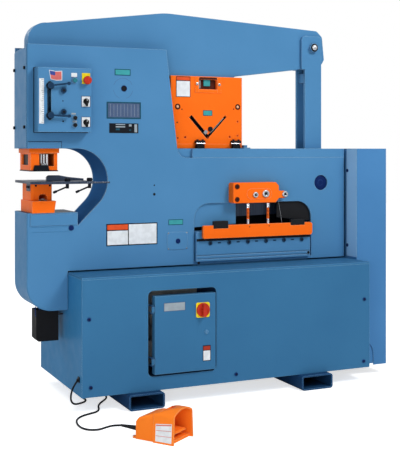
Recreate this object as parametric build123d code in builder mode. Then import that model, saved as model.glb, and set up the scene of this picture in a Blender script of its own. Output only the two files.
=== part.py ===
from build123d import *
import math
import os

os.makedirs("parts", exist_ok=True)

# Hydraulic ironworker with a punching throat at its left end, an angle shear and a flat-bar shear.
# Millimetres, +Z up, X along the machine, the operator stands on the -Y side.
# The origin is on the floor, in the middle of the footprint, foot switch included.

# Base cabinet
left = -785.0            # x of the base's left side
front = -58.3            # y of the base's front
base_length = 1580.0
base_depth = 720.0
base_top = 630.0
skid_height = 75.0
skid_width = 180.0
skid_wall = 8.0
skid_corner = 14.0
skid_nose = 40.0         # how far a skid tube stands out in front
skid_inset = (307.0, 1237.0)
base_wall = 6.0
deck_thickness = 10.0
cover_sheet = 4.0
running_gap = 0.1        # between a moving piece and what guides it

# Welded frame
plate_front = 220.0      # front plate's face, behind the base's front
plate_thickness = 12.0
frame_depth = 240.0      # over both side plates
core_front = 304.0       # centre plate's front face, behind the base's front
core_thickness = 72.0
end_reach = 202.0        # how far the frame overhangs the base's left side
cover_top = 1725.0
head_bottom = 1228.0
jaw_top = 920.0
jaw_bottom = 450.0
jaw_corner = 125.0
jaw_wall = 48.0          # inner end of the jaw, from the base's left side
throat_radius = 156.0
throat_centre = (45.0, 1072.0)
liner = 8.0
cabinet_right = 1563.0
cabinet_seam = 1181.0
deck_gap = 8.0           # under the front plate

# Arch over the shears
arch_left_top = (-81.0, 1840.0)
arch_peak = (538.0, 1922.0)
arch_right_top = (1440.0, 1874.0)
arch_end = (1474.0, 1842.0)
arch_bend = 350.0        # radius where the arch's two straight tops meet

# Shears
ram_left = 640.0
ram_right = 1344.5
shear_stroke = 78.0
window_left = 664.0
window_right = 1354.0
window_bottom = 652.0
window_top = 947.0
window_corner = 85.0
bed_top = 805.0
bed_front = 200.0
blade_line = 304.5       # plane in which the flat-bar blades pass each other

# Punch end
punch_across = -120.0    # punch axis, from the base's left side
punch_along = 340.0      # punch axis, behind the base's front
punch_stroke = 60.0
punch_radius = 12.0
slug_bore = 20.0         # slugs fall through the bolster and the jaw
table_top = 1072.0
table_thickness = 12.0

# Control panel
panel_left = -168.0
panel_right = 96.0
panel_bottom = 1306.0
panel_top = 1610.0
panel_depth = 68.0
panel_sheet = 3.0

# Electric enclosure
door_left = 355.0
door_right = 675.0
door_bottom = 153.0
door_top = 525.0
door_thickness = 37.0
door_proud = 15.0
opening_left = 327.0
opening_right = 685.0
opening_bottom = 142.0
opening_top = 550.0
enclosure_depth = 196.0

# Cord
cord_diameter = 9.0

base_back = front + base_depth
base_right = left + base_length
deck_bottom = base_top - deck_thickness
plate_face = front + plate_front
plate_back = plate_face + plate_thickness
rear_face = plate_face + frame_depth
rear_inner = rear_face - plate_thickness
core_face = front + core_front
core_back = core_face + core_thickness
end_x = left - end_reach
punch_x = left + punch_across
punch_y = front + punch_along


def across(y):
    """Upright plane across the machine; what is extruded from it grows towards the operator."""
    return Plane.XZ.offset(-y)


def along(x):
    """Upright plane along the machine's depth; what is extruded from it grows to the right."""
    return Plane.YZ.offset(x)


def level(z):
    """Horizontal plane; what is extruded from it grows upwards."""
    return Plane.XY.offset(z)


def area(a0, a1, b0, b1, mode=Mode.ADD):
    """Rectangle given by its edges, in the sketch being drawn."""
    with Locations(((a0 + a1) / 2, (b0 + b1) / 2)):
        return Rectangle(a1 - a0, b1 - b0, mode=mode)


def disc(a, b, radius, mode=Mode.ADD):
    """Circle given by its centre, in the sketch being drawn."""
    with Locations((a, b)):
        return Circle(radius, mode=mode)


def bar(start, end, width, mode=Mode.ADD):
    """Straight strip from one point to another, in the sketch being drawn."""
    run = Vector(*end) - Vector(*start)
    with Locations(((start[0] + end[0]) / 2, (start[1] + end[1]) / 2)):
        turn = math.degrees(math.atan2(run.Y, run.X))
        return Rectangle(run.length, width, rotation=turn, mode=mode)


def near(sketch, *points):
    """The sketch's vertices nearest several points of its own plane."""
    return [sketch.vertices().sort_by_distance((a, b, 0))[0] for a, b in points]


def save(builder, label):
    builder.part.label = label
    export_step(builder.part, f"parts/{label}.step")


# Base: skid tubes, floor and sides, deck and covers

with BuildPart() as skid_tubes:
    with BuildSketch(across(base_back)):
        with Locations(*[(left + inset, skid_height / 2) for inset in skid_inset]):
            RectangleRounded(skid_width, skid_height, skid_corner)
            inner_width = skid_width - 2 * skid_wall
            inner_height = skid_height - 2 * skid_wall
            RectangleRounded(inner_width, inner_height, skid_corner - skid_wall, mode=Mode.SUBTRACT)
    extrude(amount=base_depth + skid_nose)
save(skid_tubes, "skid_tubes")

gland_y = front + 45
gland_z = 153.0
gland_hole = 8.0

with BuildPart() as base_frame:
    with BuildSketch(across(base_back - cover_sheet)):
        area(left, base_right, skid_height, deck_bottom)
        floor_top = skid_height + base_wall
        area(left + base_wall, base_right - base_wall, floor_top, deck_bottom, mode=Mode.SUBTRACT)
    extrude(amount=base_depth - 2 * cover_sheet)
    with BuildSketch(along(left)):
        disc(gland_y, gland_z, gland_hole)
    extrude(amount=base_wall, mode=Mode.SUBTRACT)
save(base_frame, "base_frame")

with BuildPart() as base_deck:
    with BuildSketch(level(deck_bottom)):
        area(left, base_right, front, base_back)
    extrude(amount=deck_thickness)
    chamfer(base_deck.edges().filter_by(Axis.X).group_by(Axis.Z)[-1].sort_by(Axis.Y)[0], 2)
save(base_deck, "base_deck")

opening_corner = 25.0

with BuildPart() as base_front_cover:
    with BuildSketch(across(front + cover_sheet)):
        area(left, base_right, skid_height, deck_bottom)
        with Locations((left + (opening_left + opening_right) / 2, (opening_bottom + opening_top) / 2)):
            opening_width = opening_right - opening_left
            opening_height = opening_top - opening_bottom
            RectangleRounded(opening_width, opening_height, opening_corner, mode=Mode.SUBTRACT)
    extrude(amount=cover_sheet)
save(base_front_cover, "base_front_cover")

louvre_width = 130.0
louvre_height = 8.0
louvre_pitch = (190.0, 26.0)
louvre_count = (3, 6)

with BuildPart() as base_rear_cover:
    with BuildSketch(across(base_back)):
        area(left, base_right, skid_height, deck_bottom)
        with Locations((left + 3 * base_length / 4, (skid_height + deck_bottom) / 2)):
            with GridLocations(*louvre_pitch, *louvre_count):
                SlotOverall(louvre_width, louvre_height, mode=Mode.SUBTRACT)
    extrude(amount=cover_sheet)
save(base_rear_cover, "base_rear_cover")


# Frame: centre plate, side plates, throat liner and end covers

def throat_points(inset):
    """Ends of the throat's curve and straight, moved outwards by inset."""
    radius = throat_radius + inset
    centre_x = left + throat_centre[0]
    centre_z = throat_centre[1]
    slope = radius * math.cos(math.radians(45))
    top = (centre_x, centre_z + radius)
    side = (centre_x + radius, centre_z)
    low = (centre_x + slope, centre_z - slope)
    wall_x = left + jaw_wall - inset
    foot = (wall_x, low[1] - (low[0] - wall_x))
    return top, side, low, foot


arch_thickness_drop = 1590.0    # underside of the plate over the punch cylinder
shear_ceiling = 1597.0          # underside of the plate over the shear cylinder
cylinder_bay = -45.0            # right side of the punch cylinder's bay
core_left = -176.0
core_shoulder = 1755.0
column_top = 1150.0
core_right = 1540.0
bed_floor = 775.0               # centre plate's top edge under the shear ram
pin_place = (1406.0, 1779.0)
pin_radius = 22.0
end_margin = liner              # centre plate stays inside the jaw's wrapper

with BuildPart() as frame_plate:
    with BuildSketch(across(core_back)) as outline:
        top, side, low, foot = throat_points(liner)
        wrap_left = end_x + end_margin
        wrap_bottom = jaw_bottom + liner
        with BuildLine():
            Polyline(
                foot,
                (foot[0], jaw_top - liner),
                (wrap_left, jaw_top - liner),
                (wrap_left, wrap_bottom),
                (left - 1, wrap_bottom),
                (left - 1, base_top),
                (left + core_right, base_top),
                (left + core_right, column_top),
                (left + ram_right + 0.5, column_top),
                (left + ram_right + 0.5, bed_floor),
                (left + ram_left - 0.5, bed_floor),
                (left + ram_left - 0.5, shear_ceiling),
                (left + 920, shear_ceiling),
                (left + 940, 1610),
                (left + 1315, 1658),
                (left + 1473, 1694),
                (left + 1487, 1718),
                (left + arch_end[0], arch_end[1]),
                (left + arch_right_top[0], arch_right_top[1]),
                (left + arch_peak[0], arch_peak[1]),
                (left + arch_left_top[0], arch_left_top[1]),
            )
            shoulder_drop = math.sqrt(0.5) * (arch_left_top[0] - core_left)
            ThreePointArc(
                (left + arch_left_top[0], arch_left_top[1]),
                (left + arch_left_top[0] - shoulder_drop, core_shoulder + shoulder_drop * 0.9),
                (left + core_left, core_shoulder),
            )
            Polyline(
                (left + core_left, core_shoulder),
                (left + core_left, arch_thickness_drop),
                (left + cylinder_bay, arch_thickness_drop),
                (left + cylinder_bay, head_bottom + liner),
                top,
            )
            ThreePointArc(top, side, low)
            Line(low, foot)
        make_face()
        fillet(near(outline, (wrap_left, wrap_bottom)), jaw_corner - liner)
        ends = [(left + arch_end[0], arch_end[1]), (left + arch_right_top[0], arch_right_top[1])]
        fillet(near(outline, *ends), 22)
        fillet(near(outline, (left + arch_peak[0], arch_peak[1])), arch_bend)
        fillet(near(outline, (left + ram_left - 0.5, shear_ceiling)), 30)
        disc(left + pin_place[0], pin_place[1], pin_radius + running_gap, mode=Mode.SUBTRACT)
    extrude(amount=core_thickness)
    with BuildSketch(level(jaw_bottom)):
        disc(punch_x, punch_y, slug_bore)
    extrude(amount=jaw_top - jaw_bottom, mode=Mode.SUBTRACT)
save(frame_plate, "frame_plate")

slant_top = 510.0
slant_foot = 576.0
slant_corner = 55.0
oil_hole = (1416.0, 1044.0)
oil_hole_radius = 41.0
plate_edge = 8.0         # rounding of the front plate's left edges


def side_plate_lines(top_line):
    """Outline of a side plate: the shared jaw and throat, closed by the points of its own top."""
    top, side, low, foot = throat_points(0)
    Polyline(foot, (foot[0], jaw_top), (end_x, jaw_top), (end_x, jaw_bottom), *top_line,
             (end_x, head_bottom), top)
    ThreePointArc(top, side, low)
    Line(low, foot)


def shear_window(bottom, top, radius):
    """Window of the flat-bar shear, with round upper corners."""
    area(left + window_left, left + window_right, bottom, top, mode=Mode.SUBTRACT)
    return [(left + window_left, top), (left + window_right, top)], radius


with BuildPart() as front_plate:
    plane = across(plate_back)
    with BuildSketch(plane) as outline:
        with BuildLine():
            side_plate_lines([
                (left - 2, jaw_bottom),
                (left - 2, base_top + deck_gap),
                (left + cabinet_right, base_top + deck_gap),
                (left + cabinet_right, cabinet_seam),
                (left + slant_foot, cabinet_seam),
                (left + slant_top, cover_top),
                (end_x, cover_top),
            ])
        make_face()
        fillet(near(outline, (end_x, jaw_bottom)), jaw_corner)
        fillet(near(outline, (left + slant_foot, cabinet_seam)), slant_corner)
        corners, radius = shear_window(window_bottom, window_top, window_corner)
        fillet(near(outline, *corners), radius)
        disc(left + oil_hole[0], oil_hole[1], oil_hole_radius, mode=Mode.SUBTRACT)
    extrude(amount=plate_thickness)
    left_edges = front_plate.edges().filter_by(Axis.Z).group_by(Axis.X)[0]
    fillet(left_edges.group_by(Axis.Y)[0], plate_edge)
save(front_plate, "front_plate")

rear_cover_right = 975.0
rear_cover_top = 1602.0
angle_exit = (650.0, 895.0, 1255.0, 1425.0)
exit_corner = 30.0

with BuildPart() as rear_plate:
    plane = across(rear_face)
    with BuildSketch(plane) as outline:
        with BuildLine():
            side_plate_lines([
                (left - 2, jaw_bottom),
                (left - 2, base_top),
                (left + cabinet_right, base_top),
                (left + cabinet_right, head_bottom),
                (left + rear_cover_right, head_bottom),
                (left + rear_cover_right, rear_cover_top),
                (left + slant_top + 20, rear_cover_top),
                (left + slant_top, cover_top),
                (end_x, cover_top),
            ])
        make_face()
        fillet(near(outline, (end_x, jaw_bottom)), jaw_corner)
        corners, radius = shear_window(window_bottom, window_top, window_corner)
        fillet(near(outline, *corners), radius)
        exit_left, exit_right, exit_bottom, exit_top = angle_exit
        with Locations((left + (exit_left + exit_right) / 2, (exit_bottom + exit_top) / 2)):
            exit_size = (exit_right - exit_left, exit_top - exit_bottom)
            RectangleRounded(*exit_size, exit_corner, mode=Mode.SUBTRACT)
    extrude(amount=plate_thickness)
save(rear_plate, "rear_plate")

ram_hole = 48.0

with BuildPart() as throat_liner:
    with BuildSketch(across(rear_inner)):
        top, side, low, foot = throat_points(0)
        top_out, side_out, low_out, foot_out = throat_points(liner)
        with BuildLine():
            Line((end_x, head_bottom), top)
            ThreePointArc(top, side, low)
            Polyline(low, foot, (foot[0], jaw_top), (foot_out[0], jaw_top), foot_out, low_out)
            ThreePointArc(low_out, side_out, top_out)
            Polyline(top_out, (end_x, head_bottom + liner), (end_x, head_bottom))
        make_face()
    extrude(amount=rear_inner - plate_back)
    with BuildSketch(level(head_bottom)):
        disc(punch_x, punch_y, ram_hole)
    extrude(amount=liner, mode=Mode.SUBTRACT)
save(throat_liner, "throat_liner")

with BuildPart() as jaw_end_cover:
    plane = across(rear_inner)
    with BuildSketch(plane) as outline:
        area(end_x, left - 2, jaw_bottom, jaw_top)
        fillet(near(outline, (end_x, jaw_bottom)), jaw_corner)
        with BuildSketch(plane, mode=Mode.SUBTRACT) as inside:
            area(end_x + liner, left + liner, jaw_bottom + liner, jaw_top - liner)
            fillet(near(inside, (end_x + liner, jaw_bottom + liner)), jaw_corner - liner)
        area(left - 2, left + jaw_wall - liner, jaw_top - liner, jaw_top)
    extrude(amount=rear_inner - plate_back)
    with BuildSketch(level(jaw_bottom)):
        disc(punch_x, punch_y, slug_bore)
    extrude(amount=jaw_top - jaw_bottom, mode=Mode.SUBTRACT)
save(jaw_end_cover, "jaw_end_cover")

end_sheet = 2.0
head_lid_drop = 27.0
lid_slot = 0.5

with BuildPart() as head_end_cover:
    with BuildSketch(along(end_x - end_sheet)):
        with BuildLine():
            cover_height = cover_top - 17
            cover_front = plate_face + plate_edge + 1
            Polyline(
                (cover_front, head_bottom),
                (rear_face, head_bottom),
                (rear_face, cover_height - 10),
                (rear_face - 70, cover_height),
                (cover_front, cover_height),
                (cover_front, head_bottom),
            )
        make_face()
    extrude(amount=end_sheet)
    with BuildSketch(level(cover_top - head_lid_drop)):
        lid_right = left + slant_top
        area(end_x, lid_right, plate_back, rear_inner)
        area(left + core_left - 1, lid_right, core_face - lid_slot, core_back + lid_slot, mode=Mode.SUBTRACT)
    extrude(amount=end_sheet)
save(head_end_cover, "head_end_cover")

strip_left = 655.0
strip_sheet = 4.0
ram_slot = (638.0, 968.0, 303.0, 432.0)
post_slot = (1335.0, 1475.0, 284.0, 396.0)
seat_area = (556.0, 656.0, 236.0, 302.0)
seat_sheet = 6.0         # folded seat under the angle plate's left end

with BuildPart() as cabinet_top:
    with BuildSketch(level(cabinet_seam)):
        area(left + strip_left, left + cabinet_right, plate_face, rear_inner)
    extrude(amount=head_bottom - cabinet_seam)
    with BuildSketch(level(cabinet_seam)):
        inner_left = left + strip_left + strip_sheet
        inner_right = left + cabinet_right - strip_sheet
        area(inner_left, inner_right, plate_back, rear_inner - strip_sheet)
    extrude(amount=head_bottom - cabinet_seam - strip_sheet, mode=Mode.SUBTRACT)
    with BuildSketch(level(head_bottom - strip_sheet)):
        area(left + ram_slot[0], left + ram_slot[1], front + ram_slot[2], front + ram_slot[3])
        area(left + post_slot[0], left + post_slot[1], front + post_slot[2], front + post_slot[3])
    extrude(amount=strip_sheet, mode=Mode.SUBTRACT)
    with BuildSketch(along(left + strip_left)):
        area(front + ram_slot[2], front + ram_slot[3], cabinet_seam, head_bottom)
    extrude(amount=strip_sheet, mode=Mode.SUBTRACT)
    seat_left, seat_right, seat_front, seat_back = seat_area
    with BuildSketch(along(left + seat_left)):
        area(front + seat_front, front + seat_back, cabinet_seam - 30, head_bottom)
        area(front + seat_front + seat_sheet, front + seat_back, cabinet_seam - 30,
             head_bottom - seat_sheet, mode=Mode.SUBTRACT)
    extrude(amount=seat_right - seat_left)
save(cabinet_top, "cabinet_top")

end_right = 1774.0
end_front = 120.0
end_back = 600.0
end_bottom = 52.0
end_edge = 8.0
notch_right = 1687.0
notch_top = 190.0
notch_corner = 80.0

with BuildPart() as end_cabinet:
    with BuildSketch(across(front + end_back)) as outline:
        area(base_right, left + end_right, end_bottom, head_bottom)
    extrude(amount=end_back - end_front)
    fillet(end_cabinet.edges().filter_by(Axis.Z).group_by(Axis.X)[-1], end_edge)
    with BuildSketch(across(front + end_back - strip_sheet)):
        inner_left = base_right + strip_sheet
        inner_right = left + end_right - strip_sheet
        area(inner_left, inner_right, end_bottom, head_bottom - strip_sheet)
    extrude(amount=end_back - end_front - 2 * strip_sheet, mode=Mode.SUBTRACT)
    plane = across(front + end_front + strip_sheet)
    with BuildSketch(plane) as notch:
        area(base_right, left + notch_right, end_bottom, notch_top)
        fillet(near(notch, (left + notch_right, notch_top)), notch_corner)
    extrude(amount=strip_sheet, mode=Mode.SUBTRACT)
save(end_cabinet, "end_cabinet")


# Tie post at the arch's right end, with its pin and nuts

post_left = 1357.0
post_right = 1460.0
post_head = 1336.0
post_shoulder = 1660.0
post_top = 1843.0
post_bottom = 900.0
post_plate = 16.0
nut_radius = 27.0
nut_length = 18.0

with BuildPart() as tie_post:
    for face in (core_face, core_back + post_plate):
        plane = across(face)
        with BuildSketch(plane) as outline:
            area(left + post_left, left + post_right, post_bottom, post_top)
            area(left + post_head, left + post_right, post_shoulder, post_top)
            fillet(near(outline, (left + post_head, post_top), (left + post_right, post_top)), 24)
        extrude(amount=post_plate)
    pin_front = core_face - post_plate - nut_length
    pin_back = core_back + post_plate + nut_length
    with BuildSketch(across(pin_back)):
        disc(left + pin_place[0], pin_place[1], pin_radius)
    extrude(amount=pin_back - pin_front)
    for face in (core_face - post_plate, pin_back):
        with BuildSketch(across(face)):
            with Locations((left + pin_place[0], pin_place[1])):
                RegularPolygon(nut_radius, 6)
        extrude(amount=nut_length)
    with BuildSketch(across(core_back)):
        area(left + post_left + 12, left + post_right - 12, 1590, 1640)
    extrude(amount=core_thickness)
save(tie_post, "tie_post")


# Angle shear: fixed plate with its slot, hold-downs, and the blade on the ram

angle_plate_front = 280.0
angle_left = 560.0
angle_right = 970.0
angle_bottom = head_bottom
angle_top = 1602.0
vee_left = (669.0, 1395.0)
vee_foot = (767.0, 1288.0)
vee_right = (873.0, 1398.0)
vee_widths = (19.0, 12.0)
stroke_window = (718.0, 821.0, 1536.0, 1587.0)
angle_holes = {(598.0, 1443.0): 13.0, (942.0, 1447.0): 13.0, (641.0, 1286.0): 6.0,
               (896.0, 1289.0): 6.0, (942.0, 1370.0): 5.0, (942.0, 1296.0): 5.0}


def vee(spread):
    """Slot in which an angle bar lies on its heel, wider by spread on each side."""
    for tip, width in zip((vee_left, vee_right), vee_widths):
        start = (left + tip[0], tip[1])
        end = (left + vee_foot[0], vee_foot[1])
        bar(start, end, width + 2 * spread, mode=Mode.SUBTRACT)
    disc(left + vee_foot[0], vee_foot[1], max(vee_widths) / 2 + spread, mode=Mode.SUBTRACT)


with BuildPart() as angle_plate:
    with BuildSketch(across(core_face)) as outline:
        area(left + angle_left, left + angle_right, angle_bottom, angle_top)
        window = stroke_window
        area(left + window[0], left + window[1], window[2], window[3], mode=Mode.SUBTRACT)
        vee(0)
        for (hole_x, hole_z), radius in angle_holes.items():
            disc(left + hole_x, hole_z, radius, mode=Mode.SUBTRACT)
    extrude(amount=core_front - angle_plate_front)
    chamfer(angle_plate.edges().filter_by(Axis.Z).group_by(Axis.X)[-1].sort_by(Axis.Y)[0], 6)
save(angle_plate, "angle_plate")

clamp_places = (718.0, 925.0)
clamp_depth = 25.0
clamp_steps = ((42.0, 0.0, 20.0), (26.0, 19.0, 29.0), (50.0, 28.0, 42.0))  # width, bottom and top of each

with BuildPart() as angle_hold_downs:
    clamp_back = front + angle_plate_front
    with BuildSketch(across(clamp_back)):
        for place in clamp_places:
            for width, low, high in clamp_steps:
                area(left + place - width / 2, left + place + width / 2, angle_bottom + low, angle_bottom + high)
    extrude(amount=clamp_depth)
    chamfer(angle_hold_downs.edges().filter_by(Axis.X).group_by(Axis.Y)[0].group_by(Axis.Z)[-1], 3)
save(angle_hold_downs, "angle_hold_downs")

angle_blade_area = (652.0, 950.0, 1240.0, 1450.0)
blade_thickness = 20.0
upper_blade_left = 700.0
upper_blade_right = 1320.0
upper_blade_top = 960.0
upper_blade_low = 862.0
upper_blade_high = 880.0
ram_bottom = 886.0
ram_front = front + blade_line + 0.5 + blade_thickness
ram_back = core_back - 4
ram_tall_right = 960.0
ram_tall_top = 1440.0
ram_low_top = 1214.0
ram_rod_radius = 38.0
shear_cylinder_x = 800.0
shear_cylinder_y = front + 368.0
shear_barrel = 60.0
shear_cylinder_bottom = ram_tall_top + 12
shear_cylinder_top = shear_ceiling

with BuildPart() as angle_blade:
    with BuildSketch(across(ram_front)):
        area(left + angle_blade_area[0], left + angle_blade_area[1], *angle_blade_area[2:])
        vee(0)
    extrude(amount=blade_thickness)
save(angle_blade, "angle_blade")

with BuildPart() as upper_blade:
    with BuildSketch(across(ram_front)):
        with BuildLine():
            Polyline(
                (left + upper_blade_left, upper_blade_low),
                (left + upper_blade_right, upper_blade_high),
                (left + upper_blade_right, upper_blade_top),
                (left + upper_blade_left, upper_blade_top),
                (left + upper_blade_left, upper_blade_low),
            )
        make_face()
        for hole in range(5):
            disc(left + upper_blade_left + 70 + hole * 120, upper_blade_top - 30, 8, mode=Mode.SUBTRACT)
    extrude(amount=blade_thickness)
save(upper_blade, "upper_blade")

with BuildPart() as shear_ram:
    plane = across(ram_back)
    with BuildSketch(plane) as outline:
        area(left + ram_left, left + ram_right, ram_bottom, ram_low_top)
        area(left + ram_left, left + ram_tall_right, ram_low_top, ram_tall_top)
        fillet(near(outline, (left + ram_tall_right, ram_low_top)), 12)
        with BuildLine():
            rim = 8
            Polyline(
                (left + ram_left + rim + 3, ram_tall_top - rim),
                (left + ram_tall_right - 8 * rim, ram_tall_top - rim),
                (left + vee_foot[0], vee_foot[1] - 6 * rim),
                (left + ram_left + rim + 3, ram_tall_top - rim),
            )
        make_face(mode=Mode.SUBTRACT)
    extrude(amount=ram_back - ram_front)
    with BuildSketch(level(ram_tall_top)):
        disc(left + shear_cylinder_x, shear_cylinder_y, ram_rod_radius)
    extrude(amount=shear_cylinder_top - 25 - ram_tall_top)
    save(shear_ram, "shear_ram")

with BuildPart() as shear_cylinder:
    with BuildSketch(level(shear_cylinder_bottom)):
        disc(left + shear_cylinder_x, shear_cylinder_y, shear_barrel)
    extrude(amount=shear_cylinder_top - shear_cylinder_bottom)
    with BuildSketch(level(shear_cylinder_bottom)):
        disc(left + shear_cylinder_x, shear_cylinder_y, ram_rod_radius + running_gap)
    extrude(amount=shear_cylinder_top - shear_cylinder_bottom - 20, mode=Mode.SUBTRACT)
    fillet(shear_cylinder.edges().filter_by(GeomType.CIRCLE).group_by(Axis.Z)[0].sort_by(SortBy.LENGTH)[-1], 4)
save(shear_cylinder, "shear_cylinder")


# Flat-bar shear: bed, lower blade, hold-down bracket and guard

bed_left = 668.0
bed_right = 1336.0
bed_rear = core_front
bed_step = 745.0
groove_levels = (682.0, 665.0)
groove_height = 5.0
groove_depth = 4.0
bed_bolts = 6
bed_bolt_pitch = 107.6
bed_bolt_start = 747.0
bed_bolt_level = 743.0
blade_seat = blade_line - 0.5 - blade_thickness

with BuildPart() as shear_bed:
    with BuildSketch(along(left + bed_left)):
        with BuildLine():
            Polyline(
                (front + bed_front, window_bottom),
                (plate_back, window_bottom),
                (plate_back, base_top),
                (front + bed_rear, base_top),
                (front + bed_rear, bed_step),
                (front + blade_seat, bed_step),
                (front + blade_seat, bed_top),
                (front + bed_front, bed_top),
                (front + bed_front, window_bottom),
            )
        make_face()
    extrude(amount=bed_right - bed_left)
    with BuildSketch(across(front + bed_front + groove_depth)):
        for groove in groove_levels:
            area(left + bed_left, left + bed_right, groove - groove_height / 2, groove + groove_height / 2)
    extrude(amount=groove_depth, mode=Mode.SUBTRACT)
    with BuildSketch(across(front + bed_front + 8)):
        for bolt in range(bed_bolts):
            disc(left + bed_bolt_start + bolt * bed_bolt_pitch, bed_bolt_level, 7)
    extrude(amount=8, mode=Mode.SUBTRACT)
save(shear_bed, "shear_bed")

with BuildPart() as lower_blade:
    with BuildSketch(across(front + blade_seat + blade_thickness)):
        area(left + bed_left + 32, left + bed_right - 16, bed_step, bed_top)
    extrude(amount=blade_thickness)
    chamfer(lower_blade.edges().filter_by(Axis.X).group_by(Axis.Z)[0].sort_by(Axis.Y)[-1], 2)
save(lower_blade, "lower_blade")

rod_places = (952.0, 1069.0)
rod_radius = 7.0
rod_y = front + 181.5
bracket_back = plate_face
bracket_front = 166.0
bracket_left = 860.0
bracket_right = 1128.0
bracket_bottom = 946.0
bracket_top = 1052.0
nose_right = 1168.0
nose_bottom = 968.0
nose_top = 1006.0
nose_corner = 18.0

with BuildPart() as bar_bracket:
    plane = across(bracket_back)
    with BuildSketch(plane) as outline:
        with BuildLine():
            Polyline(
                (left + bracket_left, bracket_bottom),
                (left + bracket_left, bracket_top),
                (left + bracket_right - nose_corner, bracket_top),
                (left + bracket_right, bracket_top - nose_corner),
                (left + bracket_right, nose_top),
                (left + nose_right, nose_top),
                (left + nose_right, nose_bottom),
                (left + bracket_right, nose_bottom),
                (left + bracket_right - nose_corner, bracket_bottom),
                (left + bracket_left, bracket_bottom),
            )
        make_face()
        fillet(near(outline, (left + nose_right, nose_top), (left + nose_right, nose_bottom)), 8)
        fillet(near(outline, (left + bracket_left, bracket_bottom), (left + bracket_left, bracket_top)), 10)
    extrude(amount=plate_front - bracket_front)
    fillet(bar_bracket.faces().sort_by(Axis.Y)[0].edges(), 4)
    with BuildSketch(level(bracket_bottom - 1)):
        with Locations(*[(left + place, rod_y) for place in rod_places]):
            Circle(rod_radius + running_gap)
    extrude(amount=bracket_top - bracket_bottom + 2, mode=Mode.SUBTRACT)
save(bar_bracket, "bar_bracket")

guard_left = 694.0
guard_right = 1334.0
guard_bottom = 770.0
guard_top = 836.0
guard_front = 173.0
guard_back = 190.0
guard_notches = ((751.0, 836.0, 819.0), (1201.0, 1287.0, 823.0))
rod_top = 1032.0

with BuildPart() as guard_bar:
    plane = across(front + guard_back)
    with BuildSketch(plane) as outline:
        area(left + guard_left, left + guard_right, guard_bottom, guard_top)
        for notch_start, notch_end, notch_floor in guard_notches:
            area(left + notch_start, left + notch_end, notch_floor, guard_top, mode=Mode.SUBTRACT)
        fillet(near(outline, (left + guard_right, guard_top), (left + guard_right, guard_bottom)), 14)
        fillet(near(outline, (left + guard_left, guard_top), (left + guard_left, guard_bottom)), 6)
    extrude(amount=guard_back - guard_front)
    with BuildSketch(level(guard_top)):
        with Locations(*[(left + place, rod_y) for place in rod_places]):
            Circle(rod_radius)
    extrude(amount=rod_top - guard_top)
save(guard_bar, "guard_bar")


# Punch end: cylinder, ram, coupling nut, punch, stripper, bolster, die and work table

ram_radius = 35.0
piston_radius = 44.7
barrel_radius = 64.0
piston_span = (1530.0, 1572.0)
nut_bottom = 1186.0
nut_top = 1226.0
rod_end = 1206.0
gland_length = 54.0

with BuildPart() as punch_cylinder:
    cylinder_bottom = head_bottom + liner
    with BuildSketch(level(cylinder_bottom)):
        disc(punch_x, punch_y, barrel_radius)
    extrude(amount=arch_thickness_drop - cylinder_bottom)
    with BuildSketch(level(cylinder_bottom)):
        disc(punch_x, punch_y, ram_radius + running_gap)
    extrude(amount=gland_length, mode=Mode.SUBTRACT)
    with BuildSketch(level(cylinder_bottom + gland_length)):
        disc(punch_x, punch_y, piston_radius + running_gap)
    bore_length = arch_thickness_drop - cylinder_bottom - gland_length - 14
    extrude(amount=bore_length, mode=Mode.SUBTRACT)
save(punch_cylinder, "punch_cylinder")

with BuildPart() as punch_ram:
    with BuildSketch(level(rod_end)):
        disc(punch_x, punch_y, ram_radius)
    extrude(amount=piston_span[1] - rod_end)
    with BuildSketch(level(piston_span[0])):
        disc(punch_x, punch_y, piston_radius)
    extrude(amount=piston_span[1] - piston_span[0])
save(punch_ram, "punch_ram")

coupling_radius = 42.0
punch_head_radius = 22.0
punch_tip = 1128.0
punch_head_length = 16.0

with BuildPart() as punch_nut:
    with BuildSketch(level(nut_bottom)):
        disc(punch_x, punch_y, coupling_radius)
    extrude(amount=nut_top - nut_bottom)
    chamfer(punch_nut.edges().filter_by(GeomType.CIRCLE), 3)
    with BuildSketch(level(rod_end)):
        disc(punch_x, punch_y, ram_radius)
    extrude(amount=nut_top - rod_end, mode=Mode.SUBTRACT)
    with BuildSketch(level(nut_bottom)):
        disc(punch_x, punch_y, punch_radius + 3)
    extrude(amount=rod_end - nut_bottom - punch_head_length, mode=Mode.SUBTRACT)
    with BuildSketch(level(rod_end - punch_head_length)):
        disc(punch_x, punch_y, punch_head_radius)
    extrude(amount=punch_head_length, mode=Mode.SUBTRACT)
    with BuildSketch(level(nut_bottom + 12)):
        with Locations((punch_x, punch_y)):
            with PolarLocations(coupling_radius, 6):
                Circle(4)
    extrude(amount=14, mode=Mode.SUBTRACT)
save(punch_nut, "punch_nut")

with BuildPart() as punch:
    with BuildSketch(Plane.XZ.offset(-punch_y)):
        with BuildLine():
            neck = punch_radius + 3
            shoulder = rod_end - punch_head_length
            Polyline(
                (punch_x, punch_tip),
                (punch_x + punch_radius, punch_tip),
                (punch_x + punch_radius, punch_tip + 34),
                (punch_x + neck, punch_tip + 42),
                (punch_x + neck, shoulder),
                (punch_x + punch_head_radius, shoulder + 5),
                (punch_x + punch_head_radius, rod_end),
                (punch_x, rod_end),
                (punch_x, punch_tip),
            )
        make_face()
    revolve(axis=Axis((punch_x, punch_y, 0), (0, 0, 1)))
save(punch, "punch")

housing_left = -176.0
housing_right = -45.0
housing_front = 250.0
housing_back = 455.0
housing_bottom = 1123.0
housing_wall = 9.0
flange_level = 1206.0
front_window = (-134.0, -62.0, 1143.0, 1203.0)
side_window = (300.0, 420.0, 1148.0, 1200.0)

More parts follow.
